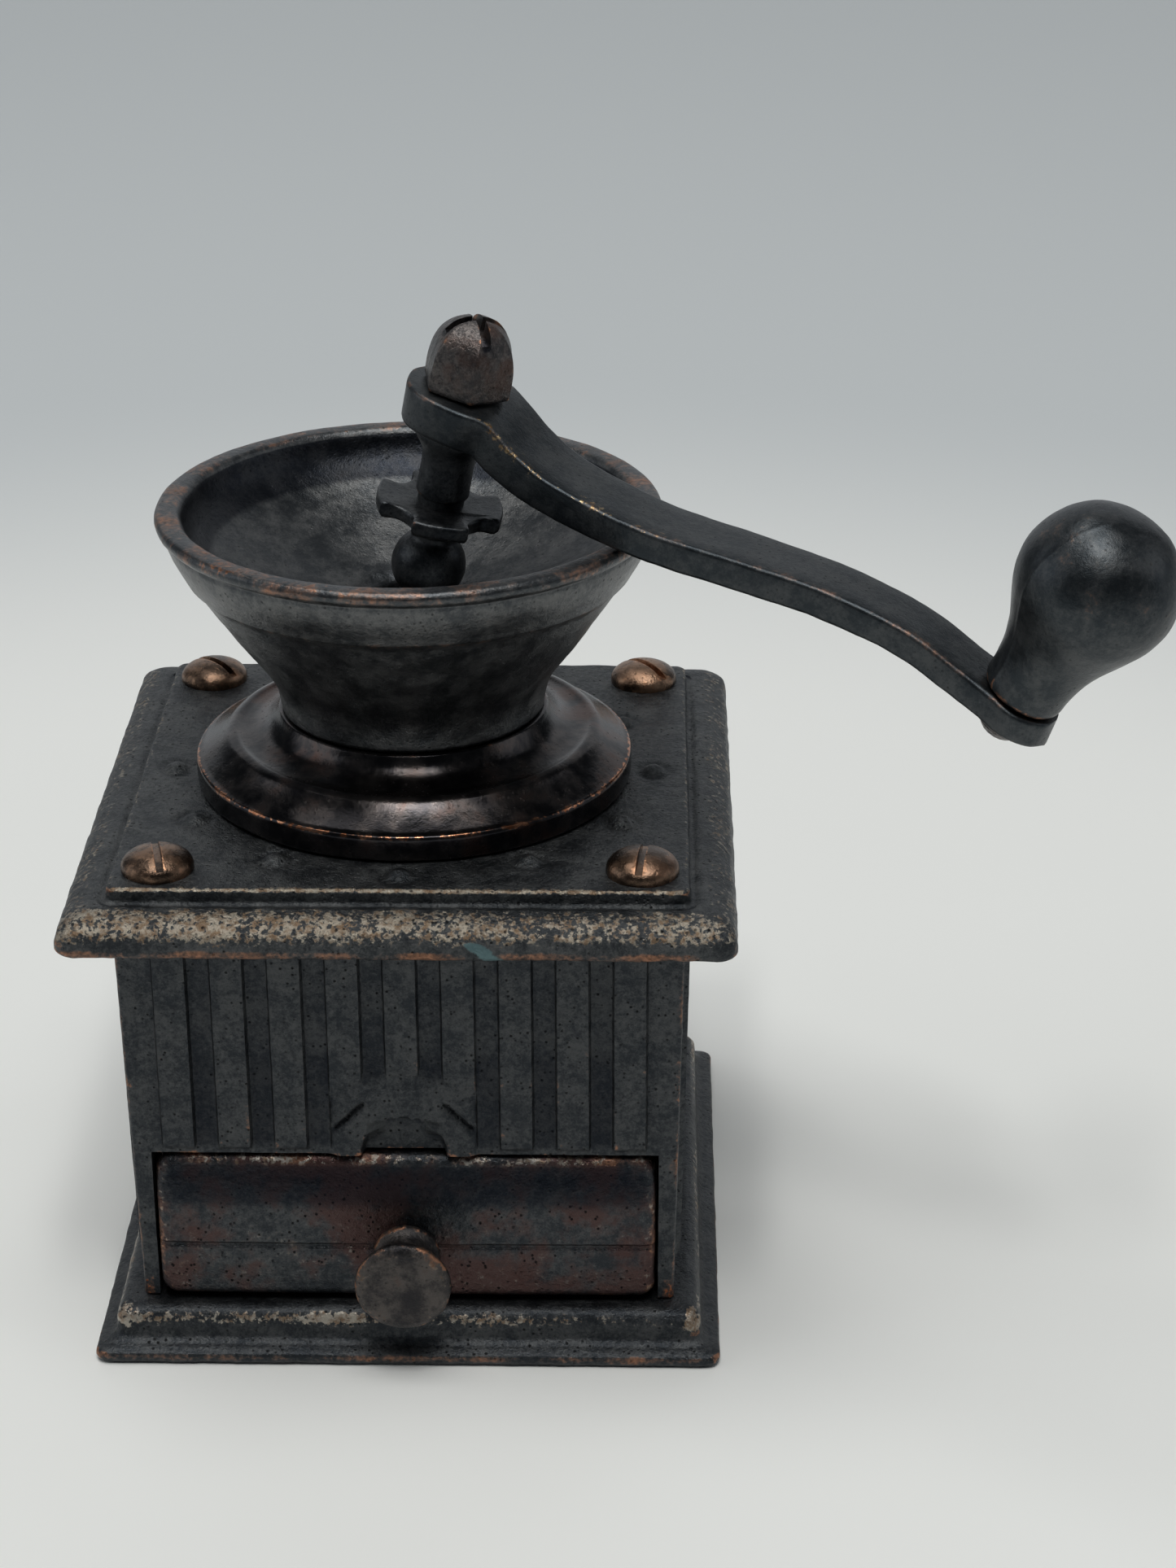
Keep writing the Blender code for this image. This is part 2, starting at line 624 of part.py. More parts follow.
# ---- crank, drawn upright: X along the arm, Z up the stem, origin at the pivot ----
def build_crank(crank, star_axis, knob_axis):
    stem = [(0, -1.2), (1.3, -1.2), (1.3, 0.6), (1.9, 1.2), (1.9, 3.4), (1.75, BALL_S - 2.5)]
    for k in range(1, 6):
        a = math.radians(-62 + 124 * k / 6)
        stem.append((BALL_R * math.cos(a), BALL_S + BALL_R * math.sin(a)))
    stem += [(1.7, BALL_S + 2.5), (2.1, STAR_S0 - 0.9), (2.1, STAR_S0 - GAP),
             (1.3, STAR_S0 - GAP), (1.3, STAR_S1 + GAP), (1.95, STAR_S1 + GAP),
             (1.9, 15.8), (2.2, 16.7), (2.85, HUB_S0 - 0.8), (2.85, HUB_S0 - 0.45),
             (1.3, HUB_S0 - 0.45), (1.3, 25.2), (0, 25.2)]
    stem_obj = finish("crank_stem", turned(stem, 20), BRONZE, crank)
    tang = box(-1.2, 1.2, -1.2, 1.2, -3.4, -0.9)
    boolean(stem_obj, guide("stem_tang", tang, crank), "UNION")

    outline = []
    for lobe in range(4):
        base = math.radians(-61 + 90 * lobe)
        for turn, radius in ((-24, STAR_TIP_R - 0.05), (-12, STAR_TIP_R - 0.15),
                             (0, STAR_TIP_R - 0.2), (12, STAR_TIP_R - 0.15),
                             (24, STAR_TIP_R - 0.05), (27, 3.5), (36, 2.7), (45, 2.5),
                             (54, 2.7), (63, 3.5)):
            a = base + math.radians(turn)
            outline.append((radius * math.cos(a), radius * math.sin(a)))
    star = finish("star_nut", prism(outline, STAR_S0, STAR_S1), BRONZE, star_axis)
    boolean(star, guide("star_bore", cylinder(0, 0, 5, 16, 1.6, 24), star_axis))

    stations = [(0.0, 19.9, 6.3, 3.0), (3.0, 19.6, 6.3, 3.0), (5.6, 18.25, 6.3, 2.8),
                (9.5, 17.25, 6.2, 2.5), (16.5, 16.7, 5.95, 2.3), (24.0, 17.15, 5.65, 2.3),
                (30.5, 17.3, 5.35, 2.25), (36.5, 16.75, 5.05, 2.15), (41.0, 15.2, 4.85, 2.1),
                (ARM_END_U - 1.0, ARM_END_S - 0.8, 4.7, 2.05)]
    run = catmull(stations, 3)
    bm = bmesh.new()
    rings = []
    for i, (u, s, width, thick) in enumerate(run):
        ahead = run[min(i + 1, len(run) - 1)]
        behind = run[max(i - 1, 0)]
        slope = math.atan2(ahead[1] - behind[1], ahead[0] - behind[0])
        up = Vector((-math.sin(slope), 0, math.cos(slope)))
        side = Vector((0, 1, 0))
        centre = Vector((u, 0, s))
        ease = 0.28
        ring = []
        half_w = width / 2
        half_t = thick / 2
        for da, db in ((ease - half_w, -half_t), (half_w - ease, -half_t),
                       (half_w, ease - half_t), (half_w, half_t - ease),
                       (half_w - ease, half_t), (ease - half_w, half_t),
                       (-half_w, half_t - ease), (-half_w, ease - half_t)):
            ring.append(bm.verts.new(centre + side * da + up * db))
        rings.append(ring)
    bm.faces.new(rings[0])
    bm.faces.new(rings[-1])
    for low, high in zip(rings, rings[1:]):
        for i in range(8):
            j = (i + 1) % 8
            bm.faces.new((low[i], low[j], high[j], high[i]))
    arm = finish("crank_arm", bm, BRONZE, crank)
    hub = turned([(0, HUB_S0), (HUB_R - 0.35, HUB_S0), (HUB_R, HUB_S0 + 0.35),
                  (HUB_R, HUB_S1 - 0.4), (HUB_R - 0.4, HUB_S1), (0, HUB_S1)], 28)
    boolean(arm, guide("arm_hub", hub, crank), "UNION")
    tilt = (Matrix.Translation((ARM_END_U, 0, ARM_END_S))
            @ Matrix.Rotation(KNOB_TILT, 4, "Y"))
    pad = turned([(0, -ARM_END_T), (ARM_END_R - 0.3, -ARM_END_T), (ARM_END_R, 0.3 - ARM_END_T),
                  (ARM_END_R, -0.3), (ARM_END_R - 0.3, 0), (0, 0)], 24)
    boolean(arm, guide("arm_pad", moved(pad, tilt), crank), "UNION")
    boolean(arm, guide("hub_bore", cylinder(0, 0, 10, 25, 1.6, 24), crank))
    bore = moved(cylinder(0, 0, -5, 5, 1.2, 16), tilt)
    boolean(arm, guide("pad_bore", bore, crank))

    nut = [(0, NUT_S0), (NUT_R, NUT_S0), (NUT_R + 0.12, NUT_S0 + 1.2)]
    for k in range(1, 6):
        a = math.radians(15 * k)
        nut.append(((NUT_R + 0.12) * math.cos(a),
                    NUT_S0 + 1.5 + (NUT_S1 - NUT_S0 - 1.5) * math.sin(a)))
    nut.append((0, NUT_S1))
    turn = Matrix.Rotation(NUT_TURN, 4, "Z")
    acorn = finish("acorn_nut", moved(turned(nut, 6), turn), BRONZE_WARM, crank, smooth=False)
    slots = Matrix.Rotation(math.radians(45), 4, "Z")
    cuts = moved(box(-0.35, 0.35, -4, 4, NUT_S1 - 0.8, NUT_S1 + 2), slots)
    cross = moved(box(-4, 4, -0.35, 0.35, NUT_S1 - 0.8, NUT_S1 + 2), slots)
    boolean(acorn, guide("nut_slot_a", cuts, crank))
    boolean(acorn, guide("nut_slot_b", cross, crank))
    boolean(acorn, guide("acorn_bore", cylinder(0, 0, NUT_S0 - 2, 25.5, 1.6, 24), crank))

    pin = [(0, -ARM_END_T - 1.0), (1.2, -ARM_END_T - 1.0), (1.7, -ARM_END_T - 0.5),
           (1.7, -ARM_END_T - 0.3), (0.9, -ARM_END_T - 0.3), (0.9, 7.4), (0, 7.4)]
    finish("knob_pin", moved(turned(pin, 16), tilt), STEEL, crank)

    shape = [(0, 7.8), (1.2, 7.8), (1.2, GAP), (2.75, GAP), (2.95, 0.9), (2.95, 1.7),
             (3.13, 3.0), (3.42, 4.15), (3.85, 5.4), (4.65, 6.95), (5.4, 8.6), (KNOB_R, 10.3),
             (5.4, 11.85), (4.72, 13.3), (3.8, 14.5), (2.4, 15.3), (0, KNOB_LEN)]
    finish("handle_knob", turned(shape, 24), BRONZE, knob_axis)


def empty(name, matrix, parent=None):
    obj = bpy.data.objects.new(name, None)
    bpy.context.scene.collection.objects.link(obj)
    obj.parent = parent
    obj.matrix_local = matrix
    return obj


def main():
    clear_scene()
    build_base()
    build_body()
    build_lid()
    build_hopper()
    spindle = empty("spindle_axis", Matrix.Identity(4))
    build_mill(spindle)
    drawer = empty("drawer_slide", Matrix.Identity(4))
    build_drawer(drawer)
    pivot = (Matrix.Translation((0, 0, PIVOT_Z * MM))
             @ Matrix.Rotation(CRANK_AZIMUTH, 4, "Z") @ Matrix.Rotation(CRANK_LEAN, 4, "Y"))
    crank = empty("crank_pivot", pivot)
    star_axis = empty("star_axis", Matrix.Identity(4), crank)
    knob_axis = empty("knob_axis", Matrix.Translation((ARM_END_U * MM, 0, ARM_END_S * MM))
                      @ Matrix.Rotation(KNOB_TILT, 4, "Y"), crank)
    build_crank(crank, star_axis, knob_axis)


main()
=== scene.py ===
"""Visual model of the miniature cast-metal coffee mill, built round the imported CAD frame."""
import json
import math

import bmesh
import bpy
import numpy as np
from mathutils import Matrix, Vector, noise


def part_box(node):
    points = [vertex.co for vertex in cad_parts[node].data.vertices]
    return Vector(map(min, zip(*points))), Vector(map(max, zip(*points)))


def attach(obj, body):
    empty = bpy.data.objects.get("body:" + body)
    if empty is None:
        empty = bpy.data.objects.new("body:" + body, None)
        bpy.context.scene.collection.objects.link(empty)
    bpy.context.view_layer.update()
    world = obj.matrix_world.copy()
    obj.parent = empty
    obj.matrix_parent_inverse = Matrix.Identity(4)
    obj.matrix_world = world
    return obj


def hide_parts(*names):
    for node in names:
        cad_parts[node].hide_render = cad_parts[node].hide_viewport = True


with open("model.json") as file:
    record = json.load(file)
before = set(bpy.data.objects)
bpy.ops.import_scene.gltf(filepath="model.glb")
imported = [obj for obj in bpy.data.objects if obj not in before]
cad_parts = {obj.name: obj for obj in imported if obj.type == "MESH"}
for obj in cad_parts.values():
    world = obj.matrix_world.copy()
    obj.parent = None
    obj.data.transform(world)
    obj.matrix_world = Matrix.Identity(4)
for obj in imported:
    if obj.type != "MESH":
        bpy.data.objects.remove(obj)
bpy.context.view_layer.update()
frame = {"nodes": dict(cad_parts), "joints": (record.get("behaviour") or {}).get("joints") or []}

MM = 0.001
NODES = frame["nodes"]
JOINTS = {joint["name"]: joint for joint in frame["joints"]}

# ---- camera, millimetres and degrees ----
CAM_FOCAL = 77.43          # on a 36 mm long side
CAM_DISTANCE = 270.7
CAM_AZIMUTH = 1.037
CAM_ELEVATION = 24.866
CAM_ROLL = -0.103
CAM_RIGHT = 12.98          # how far the line of sight passes right of the mill's foot
CAM_UP = 33.45             # and above it


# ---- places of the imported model, millimetres and radians, cleared of the record's rounding ----
def lean_of(joint):
    """How far a joint's axis leans from upright."""
    lean = Vector(JOINTS[joint]["axis"]).angle(Vector((0, 0, 1)))
    return math.radians(round(math.degrees(lean), 2))


def place_of(joint):
    return Vector([round(v / MM, 3) for v in JOINTS[joint]["pos_m"]])


rock_x, rock_y, _ = JOINTS["crank_rock"]["axis"]
CRANK_AZIMUTH = math.radians(round(math.degrees(math.atan2(-rock_x, rock_y)), 2))
CRANK_LEAN = lean_of("star_nut_turn")
CRANK = (Matrix.Translation(place_of("crank_rock")) @ Matrix.Rotation(CRANK_AZIMUTH, 4, "Z")
         @ Matrix.Rotation(CRANK_LEAN, 4, "Y"))
ARM_END = [round(v, 2) for v in CRANK.inverted() @ place_of("knob_spin")]
ARM_LENGTH = ARM_END[0]
KNOB = (CRANK @ Matrix.Translation(ARM_END)
        @ Matrix.Rotation(lean_of("knob_spin") - CRANK_LEAN, 4, "Y"))
screw_low, screw_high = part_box("lid_screw_4")
SCREW_OFFSET = round((screw_low.x + screw_high.x) / 2 / MM, 2)


# ---- mesh helpers ----
def fillet(points, steps=5):
    """Round the (x, y, radius) corners of an outline; its two end points stay sharp."""
    out = []
    count = len(points)
    for i, (x, y, radius) in enumerate(points):
        if radius <= 0 or i in (0, count - 1):
            out.append((x, y))
            continue
        here = Vector((x, y))
        before = Vector(points[i - 1][:2]) - here
        after = Vector(points[i + 1][:2]) - here
        reach = min(radius, 0.48 * before.length, 0.48 * after.length)
        start = here + before.normalized() * reach
        end = here + after.normalized() * reach
        for k in range(steps + 1):
            t = k / steps
            p = start * (1 - t) ** 2 + here * 2 * t * (1 - t) + end * t * t
            out.append((p.x, p.y))
    return out


def densify(path, spacing, closed=False):
    """Split the long stretches of a path so that no step is longer than spacing."""
    out = []
    ends = path[1:] + (path[:1] if closed else [])
    for a, b in zip(path, ends):
        length = math.dist(a, b)
        parts = max(1, math.ceil(length / spacing))
        for k in range(parts):
            t = k / parts
            out.append(tuple(p + (q - p) * t for p, q in zip(a, b)))
    if not closed:
        out.append(path[-1])
    return out


def show(obj):
    bpy.context.scene.collection.objects.link(obj)


def make(name, verts, faces, matrix=None):
    """A closed mesh in metres from points in millimetres."""
    mesh = bpy.data.meshes.new(name)
    mesh.from_pydata([tuple(v) for v in verts], [], faces)
    if matrix is not None:
        mesh.transform(matrix)
    mesh.transform(Matrix.Scale(MM, 4))
    obj = bpy.data.objects.new(name, mesh)
    show(obj)
    tidy_normals(obj)
    return obj


def tidy_normals(obj):
    """Join double points and turn every face outwards."""
    bm = bmesh.new()
    bm.from_mesh(obj.data)
    bmesh.ops.remove_doubles(bm, verts=bm.verts, dist=2e-7)
    bmesh.ops.recalc_face_normals(bm, faces=bm.faces)
    if bm.calc_volume(signed=True) < 0:
        bmesh.ops.reverse_faces(bm, faces=bm.faces)
    bm.to_mesh(obj.data)
    bm.free()
    obj.data.shade_smooth()


def rings_to_mesh(name, rings, closed, matrix=None):
    """Skin equal rings of points; open runs are capped at both ends."""
    count = len(rings[0])
    verts = [p for ring in rings for p in ring]
    faces = []
    runs = len(rings) if closed else len(rings) - 1
    for a in range(runs):
        b = (a + 1) % len(rings)
        for i in range(count):
            j = (i + 1) % count
            faces.append((a * count + i, a * count + j, b * count + j, b * count + i))
    if not closed:
        faces.append(tuple(range(count)))
        faces.append(tuple(range((len(rings) - 1) * count, len(rings) * count)))
    return make(name, verts, faces, matrix)


def turned(name, outline, segments, spacing=0.5, closed=True, matrix=None, ripple=None):
    """Turn a filleted (radius, height, fillet) outline about the Z axis."""
    path = densify(fillet(outline), spacing, closed)
    rings = []
    for radius, z in path:
        ring = []
        for i in range(segments):
            a = 2 * math.pi * i / segments
            r = max(radius, 0.004)
            if ripple:
                r = ripple(r, a, z)
            ring.append((r * math.cos(a), r * math.sin(a), z))
        rings.append(ring)
    return rings_to_mesh(name, rings, closed, matrix)


def square_ring(half, corner, z, side_steps, corner_steps=5):
    """A rounded square of points; a corner as large as half gives a circle."""
    corner = min(corner, half)
    flat = half - corner
    quarter = []
    for k in range(corner_steps + 1):
        a = k * math.pi / 2 / corner_steps
        quarter.append((flat + corner * math.cos(a), flat + corner * math.sin(a)))
    quarter += [(flat - 2 * flat * k / side_steps, half) for k in range(1, side_steps)]
    return [(x * c - y * s, x * s + y * c, z)
            for c, s in ((1, 0), (0, 1), (-1, 0), (0, -1)) for x, y in quarter]


def noise_shift(obj, size, amount, seed=0.0):
    """Gentle casting unevenness: move each point along its normal, inwards only."""
    mesh = obj.data
    normals = [v.normal.copy() for v in mesh.vertices]
    offset = Vector((seed, seed * 1.7, -seed))
    for v, n in zip(mesh.vertices, normals):
        value = noise.fractal(v.co / MM / size + offset, 0.8, 2.0, 3)
        v.co -= n * (amount * MM * (0.5 + 0.5 * max(-1.0, min(1.0, value))))
    mesh.update()


def bevel(obj, width, segments=2, angle=35):
    """Round the sharp edges of a piece."""
    mod = obj.modifiers.new("edges", "BEVEL")
    mod.width = width * MM
    mod.segments = segments
    mod.limit_method = "ANGLE"
    mod.angle_limit = math.radians(angle)
    settle(obj)


def subtract(obj, tool):
    """Cut a tool out of a piece, and remove the tool."""
    mod = obj.modifiers.new("cut", "BOOLEAN")
    mod.operation = "DIFFERENCE"
    mod.solver = "EXACT"
    mod.object = tool
    settle(obj)
    bpy.data.objects.remove(tool, do_unlink=True)


def settle(obj):
    """Apply every modifier."""
    bpy.context.view_layer.update()
    graph = bpy.context.evaluated_depsgraph_get()
    mesh = bpy.data.meshes.new_from_object(obj.evaluated_get(graph))
    old = obj.data
    obj.modifiers.clear()
    obj.data = mesh
    bpy.data.meshes.remove(old)


def block(name, x0, x1, y0, y1, z0, z1, matrix=None):
    """A plain box, for the posts and for cutting slots."""
    verts = [(x, y, z) for z in (z0, z1) for y in (y0, y1) for x in (x0, x1)]
    faces = [(0, 1, 3, 2), (4, 6, 7, 5), (0, 4, 5, 1), (2, 3, 7, 6), (0, 2, 6, 4), (1, 5, 7, 3)]
    return make(name, verts, faces, matrix)


def store(obj, name, values):
    """Keep one number for each point, for a material to read."""
    layer = obj.data.attributes.new(name, "FLOAT", "POINT")
    layer.data.foreach_set("value", np.asarray(values, np.float32))


def mark_wear(obj, gain=0.55, blur=3, painted_shade=None):
    """Store how convex each point is, where handling wears it, and how hollow, where soil gathers
    and a painted shade darkens it, with any further painted shade that a piece gives.
    """
    mesh = obj.data
    count = len(mesh.vertices)
    co = np.empty(count * 3)
    mesh.vertices.foreach_get("co", co)
    co = co.reshape(-1, 3) / MM
    normals = np.empty(count * 3)
    mesh.vertices.foreach_get("normal", normals)
    normals = normals.reshape(-1, 3)
    edges = np.empty(len(mesh.edges) * 2, np.int64)
    mesh.edges.foreach_get("vertices", edges)
    a, b = edges.reshape(-1, 2).T
    run = co[a] - co[b]
    squared = np.maximum((run * run).sum(1), 1e-4)
    bend = ((normals[a] - normals[b]) * run).sum(1) / squared
    total = np.zeros(count)
    weight = np.zeros(count)
    for end in (a, b):
        np.add.at(total, end, bend * np.sqrt(squared))
        np.add.at(weight, end, np.sqrt(squared))
    curve = total / np.maximum(weight, 1e-6)
    curve = np.clip(curve, -4, 4)
    for _ in range(blur):
        total = curve.copy()
        weight = np.ones(count)
        np.add.at(total, a, curve[b])
        np.add.at(total, b, curve[a])
        np.add.at(weight, a, 1)
        np.add.at(weight, b, 1)
        curve = total / weight
    store(obj, "wear", np.clip(curve * gain, 0, 1))
    # the hollows darken: partly soil and patina, partly painted shade, with a piece's own painted
    # shade added
    soil_and_painted_shade = -curve * gain
    if painted_shade:
        soil_and_painted_shade = soil_and_painted_shade + np.array([painted_shade(v.co / MM) for v in mesh.vertices])
    store(obj, "soil_and_painted_shade", np.clip(soil_and_painted_shade, 0, 1))


def mark(obj, name, where):
    """Store a 0 to 1 value from a function of the point in millimetres and its normal."""
    values = []
    for v in obj.data.vertices:
        values.append(max(0.0, min(1.0, where(v.co / MM, v.normal))))
    store(obj, name, values)


def ease(value, low, high):
    """0 at low to 1 at high, with soft ends; low may be the larger."""
    t = max(0.0, min(1.0, (value - low) / (high - low)))
    return t * t * (3 - 2 * t)


def bell(value, centre, width):
    """1 at the centre, falling to nothing about two widths away."""
    return math.exp(-((value - centre) / width) ** 2)


def cloud(x, y, z):
    """Smooth noise from about -1 to 1."""
    return noise.noise(Vector((x, y, z)))


def catmull(points, per_span):
    """A smooth run through the points."""
    out = []
    last = len(points) - 1
    for i in range(last):
        p0, p1 = points[max(i - 1, 0)], points[i]
        p2, p3 = points[i + 1], points[min(i + 2, last)]
        for k in range(per_span):
            t = k / per_span
            out.append(tuple(
                0.5 * ((2 * b) + (c - a) * t + (2 * a - 5 * b + 4 * c - d) * t * t
                       + (3 * b - a - 3 * c + d) * t ** 3)
                for a, b, c, d in zip(p0, p1, p2, p3)))
    out.append(points[-1])
    return out


# ---- materials ----
METAL = 0.95


class Graph:
    """Short names for the nodes of one material."""

    def __init__(self, name):
        self.mat = bpy.data.materials.new(name)
        self.mat.use_nodes = True
        self.tree = self.mat.node_tree
        self.shader = self.tree.nodes["Principled BSDF"]
        coords = self.add("ShaderNodeTexCoord")
        mapping = self.add("ShaderNodeMapping")
        mapping.inputs["Scale"].default_value = (1000, 1000, 1000)
        self.link(coords.outputs["Object"], mapping.inputs["Vector"])
        self.place = mapping.outputs["Vector"]

    def add(self, kind):
        return self.tree.nodes.new(kind)

    def link(self, a, b):
        self.tree.links.new(a, b)

    def put(self, value, socket):
        if isinstance(value, bpy.types.NodeSocket):
            self.link(value, socket)
        elif isinstance(value, (tuple, list)):
            socket.default_value = (*value, 1.0)[:4]
        else:
            socket.default_value = value

    def noise(self, scale, detail=5, rough=0.6, shift=0.0):
        node = self.add("ShaderNodeTexNoise")
        node.inputs["Scale"].default_value = scale
        node.inputs["Detail"].default_value = detail
        node.inputs["Roughness"].default_value = rough
        place = self.place
        if shift:
            move = self.add("ShaderNodeMapping")
            move.inputs["Location"].default_value = (shift, -shift, shift * 0.7)
            self.link(place, move.inputs["Vector"])
            place = move.outputs["Vector"]
        self.link(place, node.inputs["Vector"])
        return node.outputs["Fac"]

    def cells(self, scale):
        node = self.add("ShaderNodeTexVoronoi")
        node.inputs["Scale"].default_value = scale
        self.link(self.place, node.inputs["Vector"])
        return node.outputs["Distance"]

    def math(self, kind, a, b):
        node = self.add("ShaderNodeMath")
        node.operation = kind
        self.put(a, node.inputs[0])
        self.put(b, node.inputs[1])
        return node.outputs[0]

    def plus(self, a, b):
        return self.math("ADD", a, b)

    def minus(self, a, b):
        return self.math("SUBTRACT", a, b)

    def times(self, a, b):
        return self.math("MULTIPLY", a, b)

    def range(self, value, low, high, to_low=0.0, to_high=1.0):
        node = self.add("ShaderNodeMapRange")
        node.interpolation_type = "SMOOTHSTEP"
        self.put(value, node.inputs["Value"])
        node.inputs["From Min"].default_value = low
        node.inputs["From Max"].default_value = high
        node.inputs["To Min"].default_value = to_low
        node.inputs["To Max"].default_value = to_high
        return node.outputs["Result"]

    def mix(self, factor, a, b):
        node = self.add("ShaderNodeMix")
        node.data_type = "RGBA"
        self.put(factor, node.inputs[0])
        self.put(a, node.inputs[6])
        self.put(b, node.inputs[7])
        return node.outputs[2]

    def attribute(self, name):
        node = self.add("ShaderNodeAttribute")
        node.attribute_name = name
        return node.outputs["Fac"]

    def bump(self, height, strength, distance):
        node = self.add("ShaderNodeBump")
        node.inputs["Strength"].default_value = strength
        node.inputs["Distance"].default_value = distance
        self.link(height, node.inputs["Height"])
        self.link(node.outputs["Normal"], self.shader.inputs["Normal"])


def patina(name, dark=(0.030, 0.034, 0.039), light=(0.092, 0.096, 0.099),
           warm=(0.075, 0.036, 0.026), warmth=0.3, worn=(0.40, 0.20, 0.12),
           wear=(0.40, 0.62), bare=(0.42, 0.37, 0.30), pits=1.0, rough=(0.36, 0.52),
           bump=0.5, seed=0.0, grain=2.3, speckle=0.55):
    """Antiqued bronze over a pitted casting, worn bright on its edges."""
    g = Graph(name)
    broad = g.noise(0.085, 3, 0.55, seed + 3.1)
    blotch = g.noise(0.45, 6, 0.60, seed)
    grains = g.noise(grain, 5, 0.62, seed + 7.7)
    fine = g.noise(6.5, 3, 0.7, seed + 2.2)
    cell = g.cells(1.9)

    # the dark finish, with a brown tint in places
    mottle = g.plus(g.times(blotch, 1 - speckle), g.times(grains, speckle * 0.6))
    tone = g.range(g.plus(mottle, g.times(fine, speckle * 0.4)), 0.40, 0.62)
    colour = g.mix(tone, dark, light)
    tint = g.plus(g.times(broad, 0.55), g.times(blotch, 0.45))
    tint = g.range(tint, 0.66 - warmth * 0.3, 0.78 - warmth * 0.3)
    colour = g.mix(g.times(tint, 0.7), colour, warm)

    # casting pits
    hole = g.range(cell, 0.08, 0.26, 1.0, 0.0)
    hole = g.times(hole, g.range(blotch, 0.42, 0.58))
    colour = g.mix(g.times(hole, 0.8 * min(pits, 1.2)), colour, (0.010, 0.010, 0.011))

    # copper on worn edges, and where a piece is marked copper
    edge = g.attribute("wear")
    uneven = g.plus(g.times(g.minus(blotch, 0.5), 1.3), g.times(g.minus(grains, 0.5), 0.9))
    amount = g.times(g.range(g.plus(edge, uneven), *wear), g.range(edge, 0.10, 0.34))
    worn_tone = g.mix(g.range(grains, 0.35, 0.65), tuple(c * 0.5 for c in worn), worn)
    colour = g.mix(g.times(amount, 0.85), colour, worn_tone)
    blush = g.attribute("copper")
    thin = g.range(g.plus(blush, g.times(uneven, 0.8)), 0.30, 0.78)
    thin = g.times(thin, g.range(blush, 0.03, 0.30))
    colour = g.mix(g.times(thin, 0.85), colour, worn_tone)

    # bare metal where a piece is marked rub
    rub = g.attribute("rub")
    speck = g.plus(g.times(g.minus(grains, 0.5), 2.6), g.times(g.minus(blotch, 0.5), 1.1))
    speck = g.range(g.plus(rub, speck), 0.46, 0.66)
    speck = g.times(speck, g.range(rub, 0.04, 0.40))
    speck = g.times(speck, g.minus(1.0, g.times(hole, 0.8)))
    shade = tuple(c * k for c, k in zip(bare, (0.52, 0.40, 0.32)))
    scraped = g.mix(g.range(g.noise(1.3, 4, 0.7, seed + 12.3), 0.38, 0.60), shade, bare)
    colour = g.mix(speck, colour, scraped)

    # verdigris, and darkening in the hollows: partly soil and patina, partly painted shade
    green = g.plus(g.attribute("verdigris"), g.times(uneven, 0.5))
    colour = g.mix(g.range(green, 0.35, 0.55), colour, (0.12, 0.19, 0.20))
    soil_and_shade_mix = g.range(g.attribute("soil_and_painted_shade"), 0.08, 0.55, 0.0, 0.75)
    colour = g.mix(soil_and_shade_mix, colour, (0.004, 0.006, 0.012))
    g.link(colour, g.shader.inputs["Base Color"])
    g.shader.inputs["Metallic"].default_value = METAL

    gloss = g.range(blotch, 0.30, 0.70, *rough)
    gloss = g.minus(g.plus(gloss, g.times(hole, 0.2)), g.times(speck, 0.06))
    g.link(gloss, g.shader.inputs["Roughness"])
    height = g.plus(g.plus(g.times(grains, 0.8), g.times(blotch, 0.5)), g.times(fine, 0.45))
    g.bump(g.minus(height, g.times(hole, 0.6 * pits)), bump, 0.00022)
    return g.mat


def plain_metal(name, colour, rough, seed=0.0, scale=0.8):
    """Bare inner parts: turned or cast metal with a little soil and scratching."""
    g = Graph(name)
    blotch = g.noise(scale, 6, 0.65, seed)
    fine = g.noise(scale * 9, 4, 0.7, seed + 4)
    tone = g.mix(g.range(blotch, 0.35, 0.65), tuple(c * 0.55 for c in colour), colour)
    tone = g.mix(g.range(fine, 0.60, 0.72, 0.0, 0.6), tone, tuple(c * 0.25 for c in colour))
    g.link(tone, g.shader.inputs["Base Color"])
    g.shader.inputs["Metallic"].default_value = METAL
    g.link(g.range(blotch, 0.3, 0.7, rough, rough + 0.25), g.shader.inputs["Roughness"])
    g.bump(fine, 0.25, 0.0001)
    return g.mat


def nowhere(p, n):
    return 0.0


def dress(obj, material, body, nodes=(), gain=0.55, blur=3, rub=nowhere,
          painted_shade=None, copper=nowhere):
    """Material, body, CAD stand-in and finish slot of one piece."""
    mark_wear(obj, gain, blur, painted_shade)
    mark(obj, "rub", rub)
    mark(obj, "copper", copper)
    obj.data.materials.clear()
    obj.data.materials.append(material)
    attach(obj, body)
    if nodes:
        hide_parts(*nodes)


